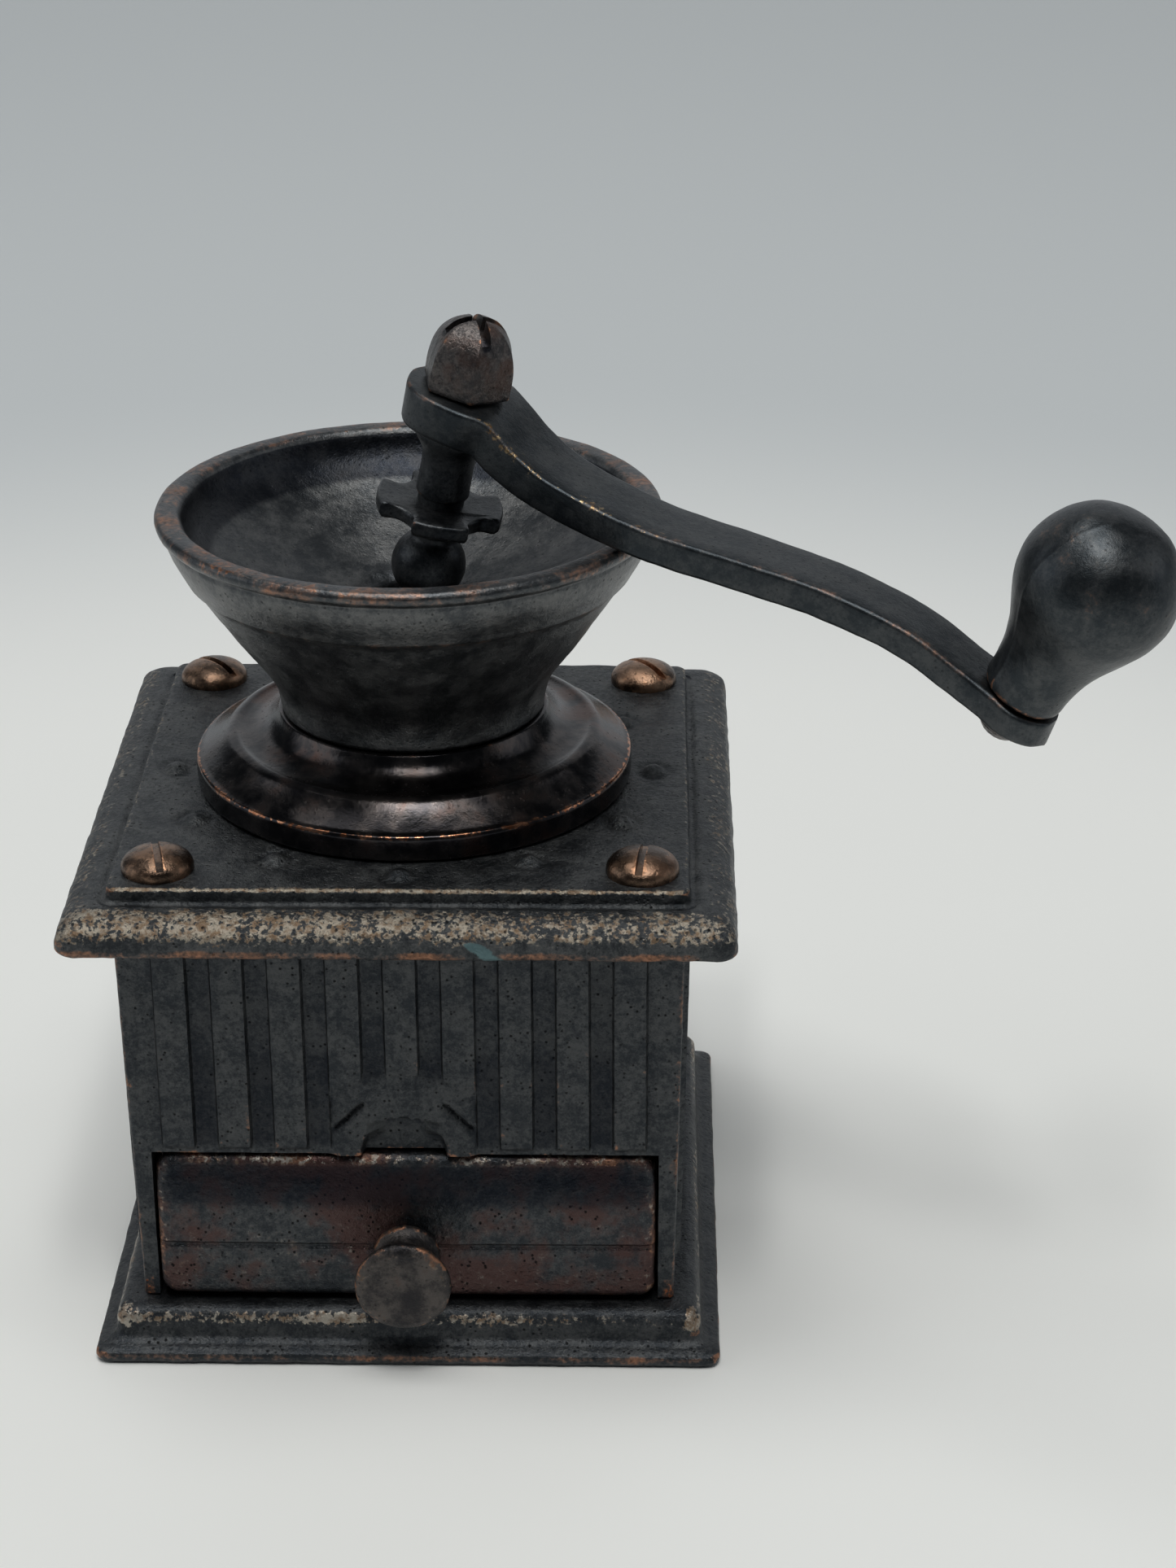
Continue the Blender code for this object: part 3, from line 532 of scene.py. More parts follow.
# ---- pieces of the box ----
def build_base(mat):
    outline = [(6.0, 0.0, 0), (22.9, 0.0, 0.25), (23.2, 0.35, 0.3), (23.2, 1.0, 0.3),
               (22.6, 1.3, 0.25), (22.2, 1.4, 0.3), (21.85, 1.75, 0.4), (21.8, 2.2, 0.4),
               (21.75, 3.05, 0.6), (21.35, 3.72, 0.5), (20.8, 3.92, 0.4), (6.0, 3.95, 0)]
    path = densify(fillet(outline, 5), 0.55, True)
    rings = []
    for half, z in path:
        corner = 1.0 if half > 15 else 1.0 + (15 - half) / 9 * 5
        rings.append(square_ring(half, corner, z, 70))
    base = rings_to_mesh("base_moulding", rings, True)
    noise_shift(base, 2.2, 0.10, 4.0)
    noise_shift(base, 0.6, 0.035, 9.0)

    def rub(p, n):
        top = bell(p.z, 3.15, 0.50) * ease(max(abs(p.x), abs(p.y)), 21.0, 21.4)
        patch = 0.62 + 0.55 * cloud(p.x * 0.16, p.y * 0.16, 2.0)
        left = 0.62 + 0.45 * ease(-p.x, -16, 8)
        corner = ease(abs(p.x), 19.6, 21.0) * ease(abs(p.y), 19.6, 21.0)
        corner *= ease(p.z, 2.0, 2.8) * ease(p.z, 3.95, 3.7)
        return max(top * patch * left, 0.85 * corner)

    def foot_edge(p, n):
        return 0.45 * bell(p.z, 0.75, 0.5) * ease(max(abs(p.x), abs(p.y)), 22.9, 23.15)
    dress(base, mat, "mill_frame", ("base_plate",), rub=rub, copper=foot_edge)


REED_PITCH = 4.1
REED_WIDTH = 2.35
REED_H = 0.42
DRAWER_TOP = 16.4          # the top of the mouth that the drawer fills
MOUTH = 18.5               # half its width, and the box's inner half width
CHEEK = 1.2                # how wide wall_lines takes each side of the mouth to be
CORNER_R = 0.4
BOX_Z0 = 4.02
BOX_Z1 = 34.3


def wall_half(z):
    """Half the width of the box at a height; it leans out slightly towards the lid."""
    return 19.74 + 0.55 * (z - 4.2) / 29.9


def reed_height(x, z, front):
    """How far the surface stands off the leaning wall at a point of one side."""
    side = abs(x)
    if side > 4.5 * REED_PITCH:
        return 0.0
    near = abs(((x / REED_PITCH + 0.5) % 1.0) - 0.5) * REED_PITCH
    rib = 1.0 - ease(near, REED_WIDTH / 2 - 0.03, REED_WIDTH / 2 + 0.13)
    if not front:
        return REED_H * rib * ease(z, 6.5, 7.0)
    rise = REED_H * rib * ease(z, 16.75, 17.1)
    swell = 0.36 * ease(side, 5.6, 4.6) * ease(z, 24.4 - side * 0.25, 21.6 - side * 0.25)
    if side < 5.3:
        fade = ease(z, 22.0 - side * 0.3, 24.2 - side * 0.3)
        rise = REED_H * rib * fade * ease(z, 16.75, 17.1)
    rise = max(rise, swell)
    reach = math.hypot(x, (z - DRAWER_TOP) * 0.98)
    rise -= (rise + 0.85) * ease(reach, 3.2, 2.8)
    nick = side - (3.0 + (20.6 - z) * 0.95)
    if 18.2 < z < 21.0:
        rise -= 0.5 * ease(z, 18.2, 18.7) * ease(z, 21.0, 20.5) * bell(nick, 0.0, 0.24)
    return rise


def wall_lines():
    """Where the grid lines run across a wall: close together at each reed edge."""
    lines = {-MOUTH, MOUTH}
    for i in range(-4, 5):
        for sign in (-1, 1):
            edge = i * REED_PITCH + sign * REED_WIDTH / 2
            for step in (-0.22, -0.03, 0.05, 0.13, 0.32):
                lines.add(round(edge + sign * step, 3))
        for step in (-0.6, -0.2, 0.2, 0.6):
            lines.add(round(i * REED_PITCH + step, 3))
    lines.update((-18.8, 18.8, -19.2, 19.2))
    lines.update(round(sign * (3.4 + 0.2 * k), 3) for k in range(11) for sign in (-1, 1))
    return sorted(lines)


def build_body(mat):
    heights = [BOX_Z0] + [float(z) for z in np.arange(4.6, DRAWER_TOP - 0.2, 0.75)]
    heights += [DRAWER_TOP] + [float(z) for z in np.arange(DRAWER_TOP + 0.2, 25.0, 0.25)]
    heights += [float(z) for z in np.arange(25.6, BOX_Z1 - 0.3, 0.7)] + [BOX_Z1]
    across = wall_lines()
    spec = []
    for side in range(4):
        spec += [(side, x, None) for x in across]
        spec += [(side, None, k * math.pi / 8) for k in range(1, 4)]
    count = len(spec)
    verts = []
    for z in heights:
        half = wall_half(z)
        inner = []
        for side, x, arc in spec:
            turn = side * math.pi / 2
            flat = half - CORNER_R
            if x is None:
                px = flat + CORNER_R * math.sin(arc)
                py = -flat - CORNER_R * math.cos(arc)
                ix = MOUTH
            else:
                px = x
                if abs(x) >= MOUTH:
                    past = (abs(x) - MOUTH) * (flat - MOUTH) / CHEEK
                    px = math.copysign(MOUTH + past, x)
                py = -half - reed_height(x, z, side == 0)
                ix = max(-MOUTH, min(MOUTH, x))
            for target, (qx, qy) in ((verts, (px, py)), (inner, (ix, -MOUTH))):
                target.append((qx * math.cos(turn) - qy * math.sin(turn),
                               qx * math.sin(turn) + qy * math.cos(turn), z))
        verts += inner
    low = across.index(-MOUTH)
    high = across.index(MOUTH)
    lintel = heights.index(DRAWER_TOP)
    faces = []
    for row in range(len(heights) - 1):
        a, b = 2 * count * row, 2 * count * (row + 1)
        for i in range(count):
            j = (i + 1) % count
            if low <= i < high and row < lintel:
                continue
            faces.append((a + i, a + j, b + j, b + i))
            faces.append((a + count + i, b + count + i, b + count + j, a + count + j))
        if row < lintel:
            for i in (low, high):
                faces.append((a + i, a + count + i, b + count + i, b + i))
    top = 2 * count * (len(heights) - 1)
    for i in range(count):
        j = (i + 1) % count
        if not low <= i < high:
            faces.append((i, count + i, count + j, j))
        faces.append((top + i, top + j, top + count + j, top + count + i))
        if low <= i < high:
            row = 2 * count * lintel
            faces.append((row + i, row + count + i, row + count + j, row + j))
    body = make("reeded_box", verts, faces)
    bm = bmesh.new()
    bm.from_mesh(body.data)
    bmesh.ops.delete(bm, geom=[v for v in bm.verts if not v.link_faces], context="VERTS")
    bm.to_mesh(body.data)
    bm.free()
    body.data.set_sharp_from_angle(angle=math.radians(62))
    noise_shift(body, 1.6, 0.06, 2.0)

    def rub(p, n):
        corner_low = ease(abs(p.x), 18.6, 19.2) * ease(-p.y, 18.6, 19.2) * ease(p.z, 6.2, 4.6)
        return corner_low * 0.5

    def arris(p, n):
        half = wall_half(p.z)
        low = 0.55 * ease(abs(p.x), 18.4, 19.0) * ease(-p.y, 18.6, 19.2) * ease(p.z, 7.5, 4.4)
        line = ease(abs(p.x), half - 0.45, half - 0.1) * ease(abs(p.y), half - 0.5, half - 0.15)
        fade = 0.42 + 0.30 * cloud(p.z * 0.22, p.x * 0.2, 7.0)
        return max(low, line * fade)

    # painted shade: the recesses between the reeds, and the faces inside the wall, are darkened
    def painted_shade(p):
        a, b = (p.x, p.y) if abs(p.y) > abs(p.x) else (p.y, p.x)
        half = wall_half(p.z)
        return 0.10 * ease(abs(b) - half, 0.30, 0.05) * ease(abs(a), 17.6, 17.2)
    dress(body, mat, "mill_frame", ("body_shell",), rub=rub, gain=0.5, painted_shade=painted_shade,
          copper=arris)


def build_posts(mat):
    """The four posts inside the box that the lid and base screws go into."""
    for sx in (-1, 1):
        for sy in (-1, 1):
            xs = sorted((sx * 15.6, sx * 18.2))
            ys = sorted((sy * 14.1, sy * 17.7))
            name = "corner_post_%s%s" % ("lr"[sx > 0], "fb"[sy > 0])
            post = block(name, *xs, *ys, 4.3, 34.0)
            bevel(post, 0.3)
            dress(post, mat, "mill_frame")


BUMP_RING_R = 18.0         # the ring of small bumps round the hopper's foot


def build_lid(mat):
    outline = [(6.6, 34.2, 0), (23.7, 34.2, 0.3), (24.0, 34.6, 0.35), (24.0, 35.25, 0.5),
               (23.75, 36.15, 0.8), (22.75, 36.95, 0.7), (21.35, 37.2, 0.25),
               (20.85, 37.05, 0.18), (20.62, 37.2, 0.12), (20.6, 38.0, 0.16),
               (20.35, 38.2, 0.2), (6.6, 38.2, 0)]
    path = densify(fillet(outline, 5), 0.42, True)
    rings = []
    for half, z in path:
        if half > 16:
            corner = 1.25 if half > 21 else 0.8
        else:
            corner = 0.8 + (16 - half) / 9.4 * 5.8
        rings.append(square_ring(half, corner, z, 86, 6))
    lid = rings_to_mesh("moulded_lid", rings, True)
    angles = [math.radians(-90 + 30 * k) for k in range(12)]
    bumps = [(BUMP_RING_R * math.cos(a), BUMP_RING_R * math.sin(a)) for a in angles]
    noise_shift(lid, 2.0, 0.12, 1.0)
    noise_shift(lid, 0.55, 0.045, 6.0)
    for v in lid.data.vertices:
        p = v.co / MM
        if p.z > 37.9:
            for bx, by in bumps:
                d = math.hypot(p.x - bx, p.y - by)
                if d < 1.5:
                    v.co.z += MM * (0.42 * ease(d, 1.0, 0.25) - 0.18 * bell(d, 1.2, 0.28))
    lid.data.update()

    def rub(p, n):
        front = ease(-p.y, 20.8, 22.0)
        nose = front * ease(n.z, 0.05, 0.5) * ease(p.z, 34.6, 35.6) * ease(37.25, p.z - 0.3, p.z)
        side = ease(abs(p.x), 21.2, 22.6) * ease(p.z, 34.8, 36.0) * 0.35
        lip = bell(p.z, 38.12, 0.20) * bell(max(abs(p.x), abs(p.y)), 20.45, 0.26)
        lip *= 1.25 if -p.y > 20.0 else 0.45
        left = 0.56 + 0.16 * ease(-p.x, -12, 16)
        patch = 0.95 + 0.30 * cloud(p.x * 0.28, p.y * 0.3, 5.0)
        return max(nose * left * patch, side * patch, lip * patch)

    def under(p, n):
        edge = max(abs(p.x), abs(p.y))
        patch = 0.50 + 0.45 * cloud(p.x * 0.25, p.y * 0.25, 8.0)
        return patch * ease(edge, 23.3, 23.8) * ease(p.z, 35.3, 34.8)

    def nick(p, n):
        slant = p.x - 5.9 + (p.z - 35.2) * 1.1
        return 0.75 * bell(slant, 0.0, 0.9) * ease(-p.y, 23.2, 23.6) * ease(p.z, 36.2, 35.4)
    dress(lid, mat, "mill_frame", ("top_plate",), rub=rub, gain=0.5, copper=under)
    mark(lid, "verdigris", nick)


HEAD_R = 2.6
HEAD_Z = 38.45             # where the dome begins
SLOT_TURNS = (0.22, 0.85, -0.12, 0.75)


def build_screws(mat):
    outline = [(0.0, 37.9, 0), (2.45, 37.9, 0.1), (HEAD_R, 38.15, 0.12), (HEAD_R, HEAD_Z, 0.2)]
    for k in range(1, 8):
        a = math.radians(90 * k / 8)
        outline.append((HEAD_R * math.cos(a), HEAD_Z + 1.32 * math.sin(a), 0.2))
    outline.append((0.0, 39.77, 0))
    places = [(sx * SCREW_OFFSET, sy * SCREW_OFFSET) for sx in (-1, 1) for sy in (-1, 1)]
    for number, ((cx, cy), slot_turn) in enumerate(zip(places, SLOT_TURNS), 1):
        place = Matrix.Translation((cx, cy, 0))
        head = turned("domed_screw_%d" % number, outline, 64, 0.25, False, place)
        turn = Matrix.Rotation(math.pi / 2 + slot_turn, 4, "Z")
        subtract(head, block("slot", -3, 3, -0.27, 0.27, 38.95, 41, place @ turn))
        bevel(head, 0.07, 2, 40)
        head.data.set_sharp_from_angle(angle=math.radians(50))

        def rub(p, n, cx=cx, cy=cy, k=number):
            d = math.hypot(p.x - cx, p.y - cy)
            patch = cloud(p.x * 0.9, p.y * 0.9, k * 3.0)
            return (0.14 + 0.20 * patch) * ease(d, 2.5, 1.6) * ease(n.z, 0.2, 0.6)
        dress(head, mat, "mill_frame", ("lid_screw_%d" % number,), 0.6, 2, rub)


# ---- hopper ----
def build_foot(mat):
    outline = [(6.6, 38.22, 0), (16.1, 38.22, 0.15), (16.32, 38.45, 0.15), (16.35, 39.95, 0.2),
               (16.25, 40.22, 0.18), (15.9, 40.34, 0.3), (15.3, 40.75, 0.8), (14.5, 41.35, 0.8),
               (13.85, 41.95, 0.45), (13.35, 42.12, 0.3), (12.9, 41.95, 0.3),
               (12.0, 41.95, 0.8), (11.0, 42.4, 0.7), (10.35, 43.1, 0.5), (10.0, 43.78, 0.2),
               (6.6, 43.78, 0)]
    foot = turned("hopper_foot", outline, 160, 0.4)
    noise_shift(foot, 3.0, 0.05, 5.0)

    def lip(p, n):
        r = math.hypot(p.x, p.y)
        return 0.62 * bell(r, 16.2, 0.22) * bell(p.z, 40.15, 0.22)

    # painted shade: the flange's outer face, below its top edge, is darkened
    def shade(p):
        return 0.34 * ease(math.hypot(p.x, p.y), 15.0, 15.8) * ease(p.z, 40.2, 40.0)
    dress(foot, mat, "mill_frame", ("hopper_stand",), rub=lip, painted_shade=shade)


def build_bowl(mat):
    outline = [(6.2, 43.74, 0), (9.65, 43.74, 0.15), (9.88, 44.0, 0.2), (10.0, 45.0, 0.6),
               (10.3, 46.1, 1.0), (11.0, 47.3, 1.2), (12.1, 48.8, 1.5), (13.3, 50.4, 1.5),
               (14.2, 51.8, 1.5), (15.05, 53.0, 1.0), (15.9, 54.3, 0.4), (16.2, 54.62, 0.2),
               (16.5, 54.85, 0.3), (16.85, 55.5, 0.8), (17.2, 56.1, 1.0), (17.6, 56.9, 1.0),
               (17.88, 57.9, 0.5), (17.86, 58.3, 0.12), (18.2, 58.42, 0.15), (18.5, 58.75, 0.25),
               (18.55, 59.2, 0.3), (18.25, 59.58, 0.35), (17.5, 59.62, 0.4), (16.85, 59.55, 0.4),
               (16.5, 59.1, 0.4), (16.2, 58.2, 0.8), (15.7, 57.4, 0.8), (14.8, 56.6, 1.2),
               (13.0, 55.45, 2.0), (9.0, 53.6, 2.0), (5.2, 52.1, 0.6), (4.5, 51.5, 0.4),
               (4.4, 50.6, 0.3), (4.4, 31.6, 0.1), (6.2, 31.6, 0)]

    def out_of_round(r, a, z):
        return r * (1 - 0.0012 * (1 + math.sin(2 * a + 0.7)))
    bowl = turned("hopper_bowl_cast", outline, 176, 0.5, True, None, out_of_round)
    noise_shift(bowl, 2.4, 0.07, 3.0)
    noise_shift(bowl, 0.7, 0.025, 8.0)

    def rim(p, n):
        r = math.hypot(p.x, p.y)
        a = math.atan2(p.y, p.x)
        top = ease(p.z, 58.7, 59.3) * ease(r, 16.3, 16.8)
        patch = cloud(math.cos(a) * 5, math.sin(a) * 5, 3.0)
        fine = cloud(p.x * 1.1, p.y * 1.1, 9.0)
        return top * (0.14 + 0.34 * patch + 0.18 * fine)

    # painted shade: near black on the hopper's inner wall below the rim, and darker below the ledge
    # outside
    def hopper_painted_shade(p):
        radius = math.hypot(p.x, p.y)
        if radius < 17.0:
            return 0.95 * ease(p.z, 55.9, 57.0) * ease(p.z, 59.25, 58.9)
        return 0.40 * ease(p.z, 54.4, 53.6)

    def brown(p, n):
        radius = math.hypot(p.x, p.y)
        top = 0.40 * ease(p.z, 58.2, 58.9) * ease(radius, 16.4, 16.9)
        ledge = 0.34 * bell(p.z, 54.8, 0.45) * ease(radius, 15.9, 16.2)
        fine = cloud(p.x * 0.35, p.y * 0.35, 4.0)
        return (top + ledge) * (1.0 + 0.6 * fine)
    dress(bowl, mat, "mill_frame", ("hopper_bowl",), gain=0.42, rub=rim, painted_shade=hopper_painted_shade, copper=brown)


# ---- drawer ----
FRONT_HALF = 18.35
FRONT_Z0 = 4.2
FRONT_Z1 = 16.25
FRONT_Y = -20.6
FRONT_BACK = -18.15
FRONT_CORNER = 1.3
FRONT_EDGE = 0.8           # the rounding of its edges
GROOVE_Z = 8.85
PULL_Z = 8.2


def grid_lines(low, high, count, extra=()):
    """Evenly spaced lines, with close ones along both edges."""
    lines = {round(float(v), 3) for v in np.linspace(low + 1.2, high - 1.2, count)}
    for k in (0, 0.06, 0.18, 0.36, 0.6, 0.9):
        lines.update((low + k, high - k))
    return sorted(lines.union(extra))


def front_point(x, z):
    """A point of the drawer's face: crowned, grooved, with rounded edges and corners."""
    flat = FRONT_HALF - FRONT_CORNER
    cx = max(0.0, abs(x) - flat)
    cz = max(0.0, z - (FRONT_Z1 - FRONT_CORNER), FRONT_Z0 + FRONT_CORNER - z)
    inset = min(FRONT_HALF - abs(x), z - FRONT_Z0, FRONT_Z1 - z)
    scale = 1.0
    if cx > 0 and cz > 0:
        inset = FRONT_CORNER - math.hypot(cx, cz)
        scale = min(1.0, FRONT_CORNER / math.hypot(cx, cz))
    t = min(1.0, max(0.0, inset) / FRONT_EDGE)
    y = FRONT_Y + FRONT_EDGE * (1 - math.sqrt(1 - (1 - t) ** 2))
    y += 0.22 * ease(z, 8.0, FRONT_Z0) + 0.55 * ease(z, 12.2, FRONT_Z1) ** 1.3
    y += 0.10 * (abs(x) / FRONT_HALF) ** 2
    y += 0.16 * bell(z, GROOVE_Z, 0.15) - 0.05 * bell(z, 9.2, 0.2)
    if scale < 1:
        x = math.copysign(flat + cx * scale, x)
        if z > 10:
            z = FRONT_Z1 - FRONT_CORNER + cz * scale
        else:
            z = FRONT_Z0 + FRONT_CORNER - cz * scale
    return (x, min(y, FRONT_BACK - 0.2), z)


def build_drawer_front(mat):
    xs = grid_lines(-FRONT_HALF, FRONT_HALF, 72)
    groove = [GROOVE_Z + k for k in (-0.28, -0.14, 0.0, 0.14, 0.28)]
    zs = grid_lines(FRONT_Z0, FRONT_Z1, 34, groove)
    verts = [front_point(x, z) for z in zs for x in xs]
    nx = len(xs)
    nz = len(zs)
    faces = [(r * nx + c, r * nx + c + 1, (r + 1) * nx + c + 1, (r + 1) * nx + c)
             for r in range(nz - 1) for c in range(nx - 1)]
    border = (list(range(nx)) + [r * nx + nx - 1 for r in range(1, nz)]
              + [(nz - 1) * nx + c for c in range(nx - 2, -1, -1)]
              + [r * nx for r in range(nz - 2, 0, -1)])
    start = len(verts)
    for i in border:
        verts.append((verts[i][0], FRONT_BACK, verts[i][2]))
    size = len(border)
    for i in range(size):
        j = (i + 1) % size
        faces.append((border[i], start + i, start + j, border[j]))
    faces.append(tuple(start + i for i in range(size)))
    front = make("drawer_face", verts, faces)
    noise_shift(front, 2.2, 0.07, 7.0)
    noise_shift(front, 0.6, 0.03, 3.0)

    def rub(p, n):
        top = 0.62 * bell(p.z, 15.85, 0.42) * ease(-p.y, 18.6, 19.4)
        # low: bare specks over the lower face are a painted sheen of the floor's light
        low = ease(p.z, 12.4, 10.0) * 0.20
        ends = ease(abs(p.x), 17.0, 17.7) * 0.3
        patch = 0.75 + 0.4 * cloud(p.x * 0.35, p.z * 0.3, 1.0)
        return max(top * 0.95, ends, low) * patch

    # painted shade and dark reflection on the upper part of the face, short of its worn top edge
    def painted_shade(p):
        return 0.46 * ease(p.z, 11.0, 13.0) * ease(p.z, 15.75, 15.3)

    def edges(p, n):
        round_edge = max(ease(abs(p.x), FRONT_HALF - 0.9, FRONT_HALF - 0.3),
                         ease(p.z, FRONT_Z0 + 0.9, FRONT_Z0 + 0.3), ease(p.z, 15.2, 15.7))
        patch = 0.36 + 0.40 * cloud(p.x * 0.3, p.z * 0.3, 2.0)
        return round_edge * patch
    dress(front, mat, "drawer", ("drawer_front",), rub=rub, gain=0.45,
          painted_shade=painted_shade, copper=edges)


def build_drawer_pull(mat):
    lay = Matrix.Translation((0, -18.1, PULL_Z)) @ Matrix.Rotation(math.pi / 2, 4, "X")
    outline = [(0.0, -1.5, 0), (1.05, -1.5, 0), (1.05, 2.0, 0), (2.5, 2.0, 0.2),
               (2.55, 2.8, 0.3), (2.2, 3.2, 0.4), (2.0, 3.8, 0.6), (2.05, 5.1, 0.7),
               (2.6, 5.9, 0.4), (3.4, 6.2, 0.3), (3.58, 6.55, 0.3), (3.55, 6.95, 0.3),
               (3.1, 7.28, 0.4), (1.6, 7.36, 0.5), (0.0, 7.36, 0)]
    pull = turned("drawer_pull", outline, 96, 0.3, False, lay)
    noise_shift(pull, 1.4, 0.08, 6.0)

    def press(p, n):
        d = math.hypot(p.x, p.z - PULL_Z)
        return ease(-n.y, 0.3, 0.9) * (0.04 + 0.22 * bell(d, 3.1, 0.4))
    dress(pull, mat, "drawer", ("drawer_knob",), rub=press)


# ---- crank ----
BALL_R = 2.75
BALL_Z = 7.2
HUB_R = 4.0                # the arm's eye round the stem
PAD_R = 2.85               # its round end under the handle
ARM_SWAY = -0.3            # how far the bar bows sideways at its middle

# the arm in the crank's own frame: how far along, height, width and thickness
ARM_STATIONS = [
    (-HUB_R, 19.9, 0.0, 3.0), (0.0, 19.9, 6.3, 3.0), (3.0, 19.65, 6.3, 3.0),
    (5.6, 18.3, 6.25, 2.85), (9.5, 17.15, 6.1, 2.55), (16.5, 16.6, 5.95, 2.35),
    (24.0, 17.02, 5.65, 2.35), (30.5, 17.3, 5.35, 2.3), (36.5, 16.75, 5.05, 2.2),
    (41.0, 15.35, 4.85, 2.15), (ARM_LENGTH, 14.1, 4.75, 2.1),
    (ARM_LENGTH + PAD_R, 13.4, 0.0, 2.1)]


def build_stem(mat):
    outline = [(0.0, -1.2, 0), (1.3, -1.2, 0), (1.3, 0.6, 0.2), (1.9, 1.2, 0.3), (1.9, 3.4, 0.6),
               (1.8, 4.65, 0.2)]
    for k in range(1, 10):
        a = math.radians(-68 + 136 * k / 10)
        outline.append((BALL_R * math.cos(a), BALL_Z + BALL_R * math.sin(a), 0.3))
    outline += [(1.6, 9.85, 0.2), (1.75, 10.1, 0.3), (2.15, 10.35, 0.3), (2.15, 10.75, 0.2),
                (1.7, 10.95, 0.2), (1.7, 12.9, 0.2), (1.95, 13.1, 0.3), (1.9, 15.6, 1.0),
                (2.1, 16.6, 0.8), (2.8, 17.6, 0.5), (2.85, 18.2, 0.2), (1.3, 18.35, 0),
                (1.3, 25.0, 0), (0.0, 25.0, 0)]
    stem = turned("stem_with_ball", outline, 64, 0.35, False, CRANK)
    dress(stem, mat, "crank", ("crank_stem",))


def star_outline():
    """Four broad lobes with a scoop between each two, as (angle, radius) turned into points."""
    scoop = [(0, 3.5), (5, 3.54), (9, 3.62), (13, 3.8), (16, 4.1), (17.5, 4.4), (18.5, 4.6)]
    both = [(-off, r) for off, r in reversed(scoop)] + scoop[1:]
    polar = []
    for lobe in range(4):
        base = -61 + 90 * lobe
        for k in range(-11, 12):
            t = k / 11
            polar.append((base + 24.5 * t, 4.62 + 0.16 * t * t))
        polar += [(base + 45 + off, r) for off, r in both]
    return [(r * math.cos(math.radians(a)), r * math.sin(math.radians(a))) for a, r in polar]


def build_star_nut(mat):
    rings = []
    for shrink, z in ((0.9, 11.2), (0.25, 11.25), (0.06, 11.32), (0.0, 11.45), (0.0, 12.05),
                      (0.05, 12.22), (0.2, 12.32), (0.9, 12.34)):
        ring = []
        for x, y in star_outline():
            r = math.hypot(x, y)
            k = (r - shrink) / r
            lift = 0.28 * ease(r - shrink, 2.6, 4.9) if z > 11.3 else 0.12
            ring.append((x * k, y * k, z + lift - 0.12))
        rings.append(ring)
    star = rings_to_mesh("star_thumb_nut", rings, False, CRANK)
    star.data.set_sharp_from_angle(angle=math.radians(55))
    dress(star, mat, "star", ("star_nut",), gain=0.3, blur=1)


def arm_half_width(u, bar):
    """Half the arm's width at u: the bar, and the round hub and pad that it runs into."""
    off = u - ARM_LENGTH
    if u < 0:
        return math.sqrt(max(HUB_R ** 2 - u * u, 0.01))
    if off > 0:
        return math.sqrt(max(PAD_R ** 2 - off * off, 0.01))
    half = bar / 2
    if u < 9:
        eye = math.sqrt(max(HUB_R ** 2 - (u * 1.06) ** 2, 0.0))
        return min((eye ** 4 + half ** 4) ** 0.25, HUB_R)
    if off > -5:
        return max(half, math.sqrt(max(PAD_R ** 2 - off * off, 0.0)))
    return half


def bar_ring(centre, up, half, thick):
    """A rounded rectangle across the arm."""
    r = min(0.38, half * 0.6, thick * 0.3)
    corners = ((1, -1, -90), (1, 1, 0), (-1, 1, 90), (-1, -1, 180))
    steps = 4

    def point(sx, sz, degrees):
        a = math.radians(degrees)
        across = sx * (half - r) + r * math.cos(a)
        rise = sz * (thick / 2 - r) + r * math.sin(a)
        return centre + Vector((0, 1, 0)) * across + up * rise
    ring = []
    for i, (sx, sz, base) in enumerate(corners):
        ring += [point(sx, sz, base + 90 * k / steps) for k in range(steps + 1)]
        next_x, next_z, _ = corners[(i + 1) % 4]
        start = ring[-1]
        end = point(next_x, next_z, base + 90)
        ring += [start.lerp(end, k / 4) for k in range(1, 4)]
    return ring


def build_arm(mat):
    along, heights, widths, thicknesses = np.array(catmull(ARM_STATIONS, 10)).T

    def height(u):
        return float(np.interp(u, along, heights))

    def width(u):
        return float(np.interp(u, along, widths))

    def thickness(u):
        return float(np.interp(u, along, thicknesses))

    turns = [k * math.pi / 24 for k in range(12)]
    samples = [-HUB_R * math.cos(a) for a in turns[1:]]
    samples += [float(v) for v in np.arange(0.0, ARM_LENGTH, 0.55)]
    samples += [ARM_LENGTH + PAD_R * math.sin(a) for a in turns]
    rings = []
    for u in samples:
        slope = math.atan2(height(u + 0.3) - height(u - 0.3), 0.6)
        up = Vector((-math.sin(slope), 0, math.cos(slope)))
        on_bar = min(max(u, 0.0), ARM_LENGTH)
        centre = Vector((u, ARM_SWAY * math.sin(math.pi * on_bar / ARM_LENGTH), height(u)))
        rings.append(bar_ring(centre, up, arm_half_width(u, width(on_bar)), thickness(u)))
    arm = rings_to_mesh("bent_crank_arm", rings, False, CRANK)
    noise_shift(arm, 2.0, 0.08, 2.5)
    inverse = CRANK.inverted()

    def below_top(q):
        return q.z - height(q.x) - thickness(q.x) / 2

    def rub(p, n):
        q = inverse @ p
        if q.x <= 0:
            return 0.0
        edge = math.hypot(q.y + width(q.x) / 2, below_top(q))
        patch = 0.9 + 0.4 * cloud(q.x * 0.6, q.y, 4.0)
        return ease(q.x, 30.0, 8.0) * bell(edge, 0.1, 0.26) * patch * 0.48

    def copper(p, n):
        q = inverse @ p
        off = HUB_R - math.hypot(q.x, q.y) if q.x < 3.0 else q.y + width(q.x) / 2
        return 0.36 * bell(math.hypot(off, below_top(q)), 0.12, 0.26)
    dress(arm, mat, "crank", ("crank_arm",), rub=rub, gain=0.5, copper=copper)


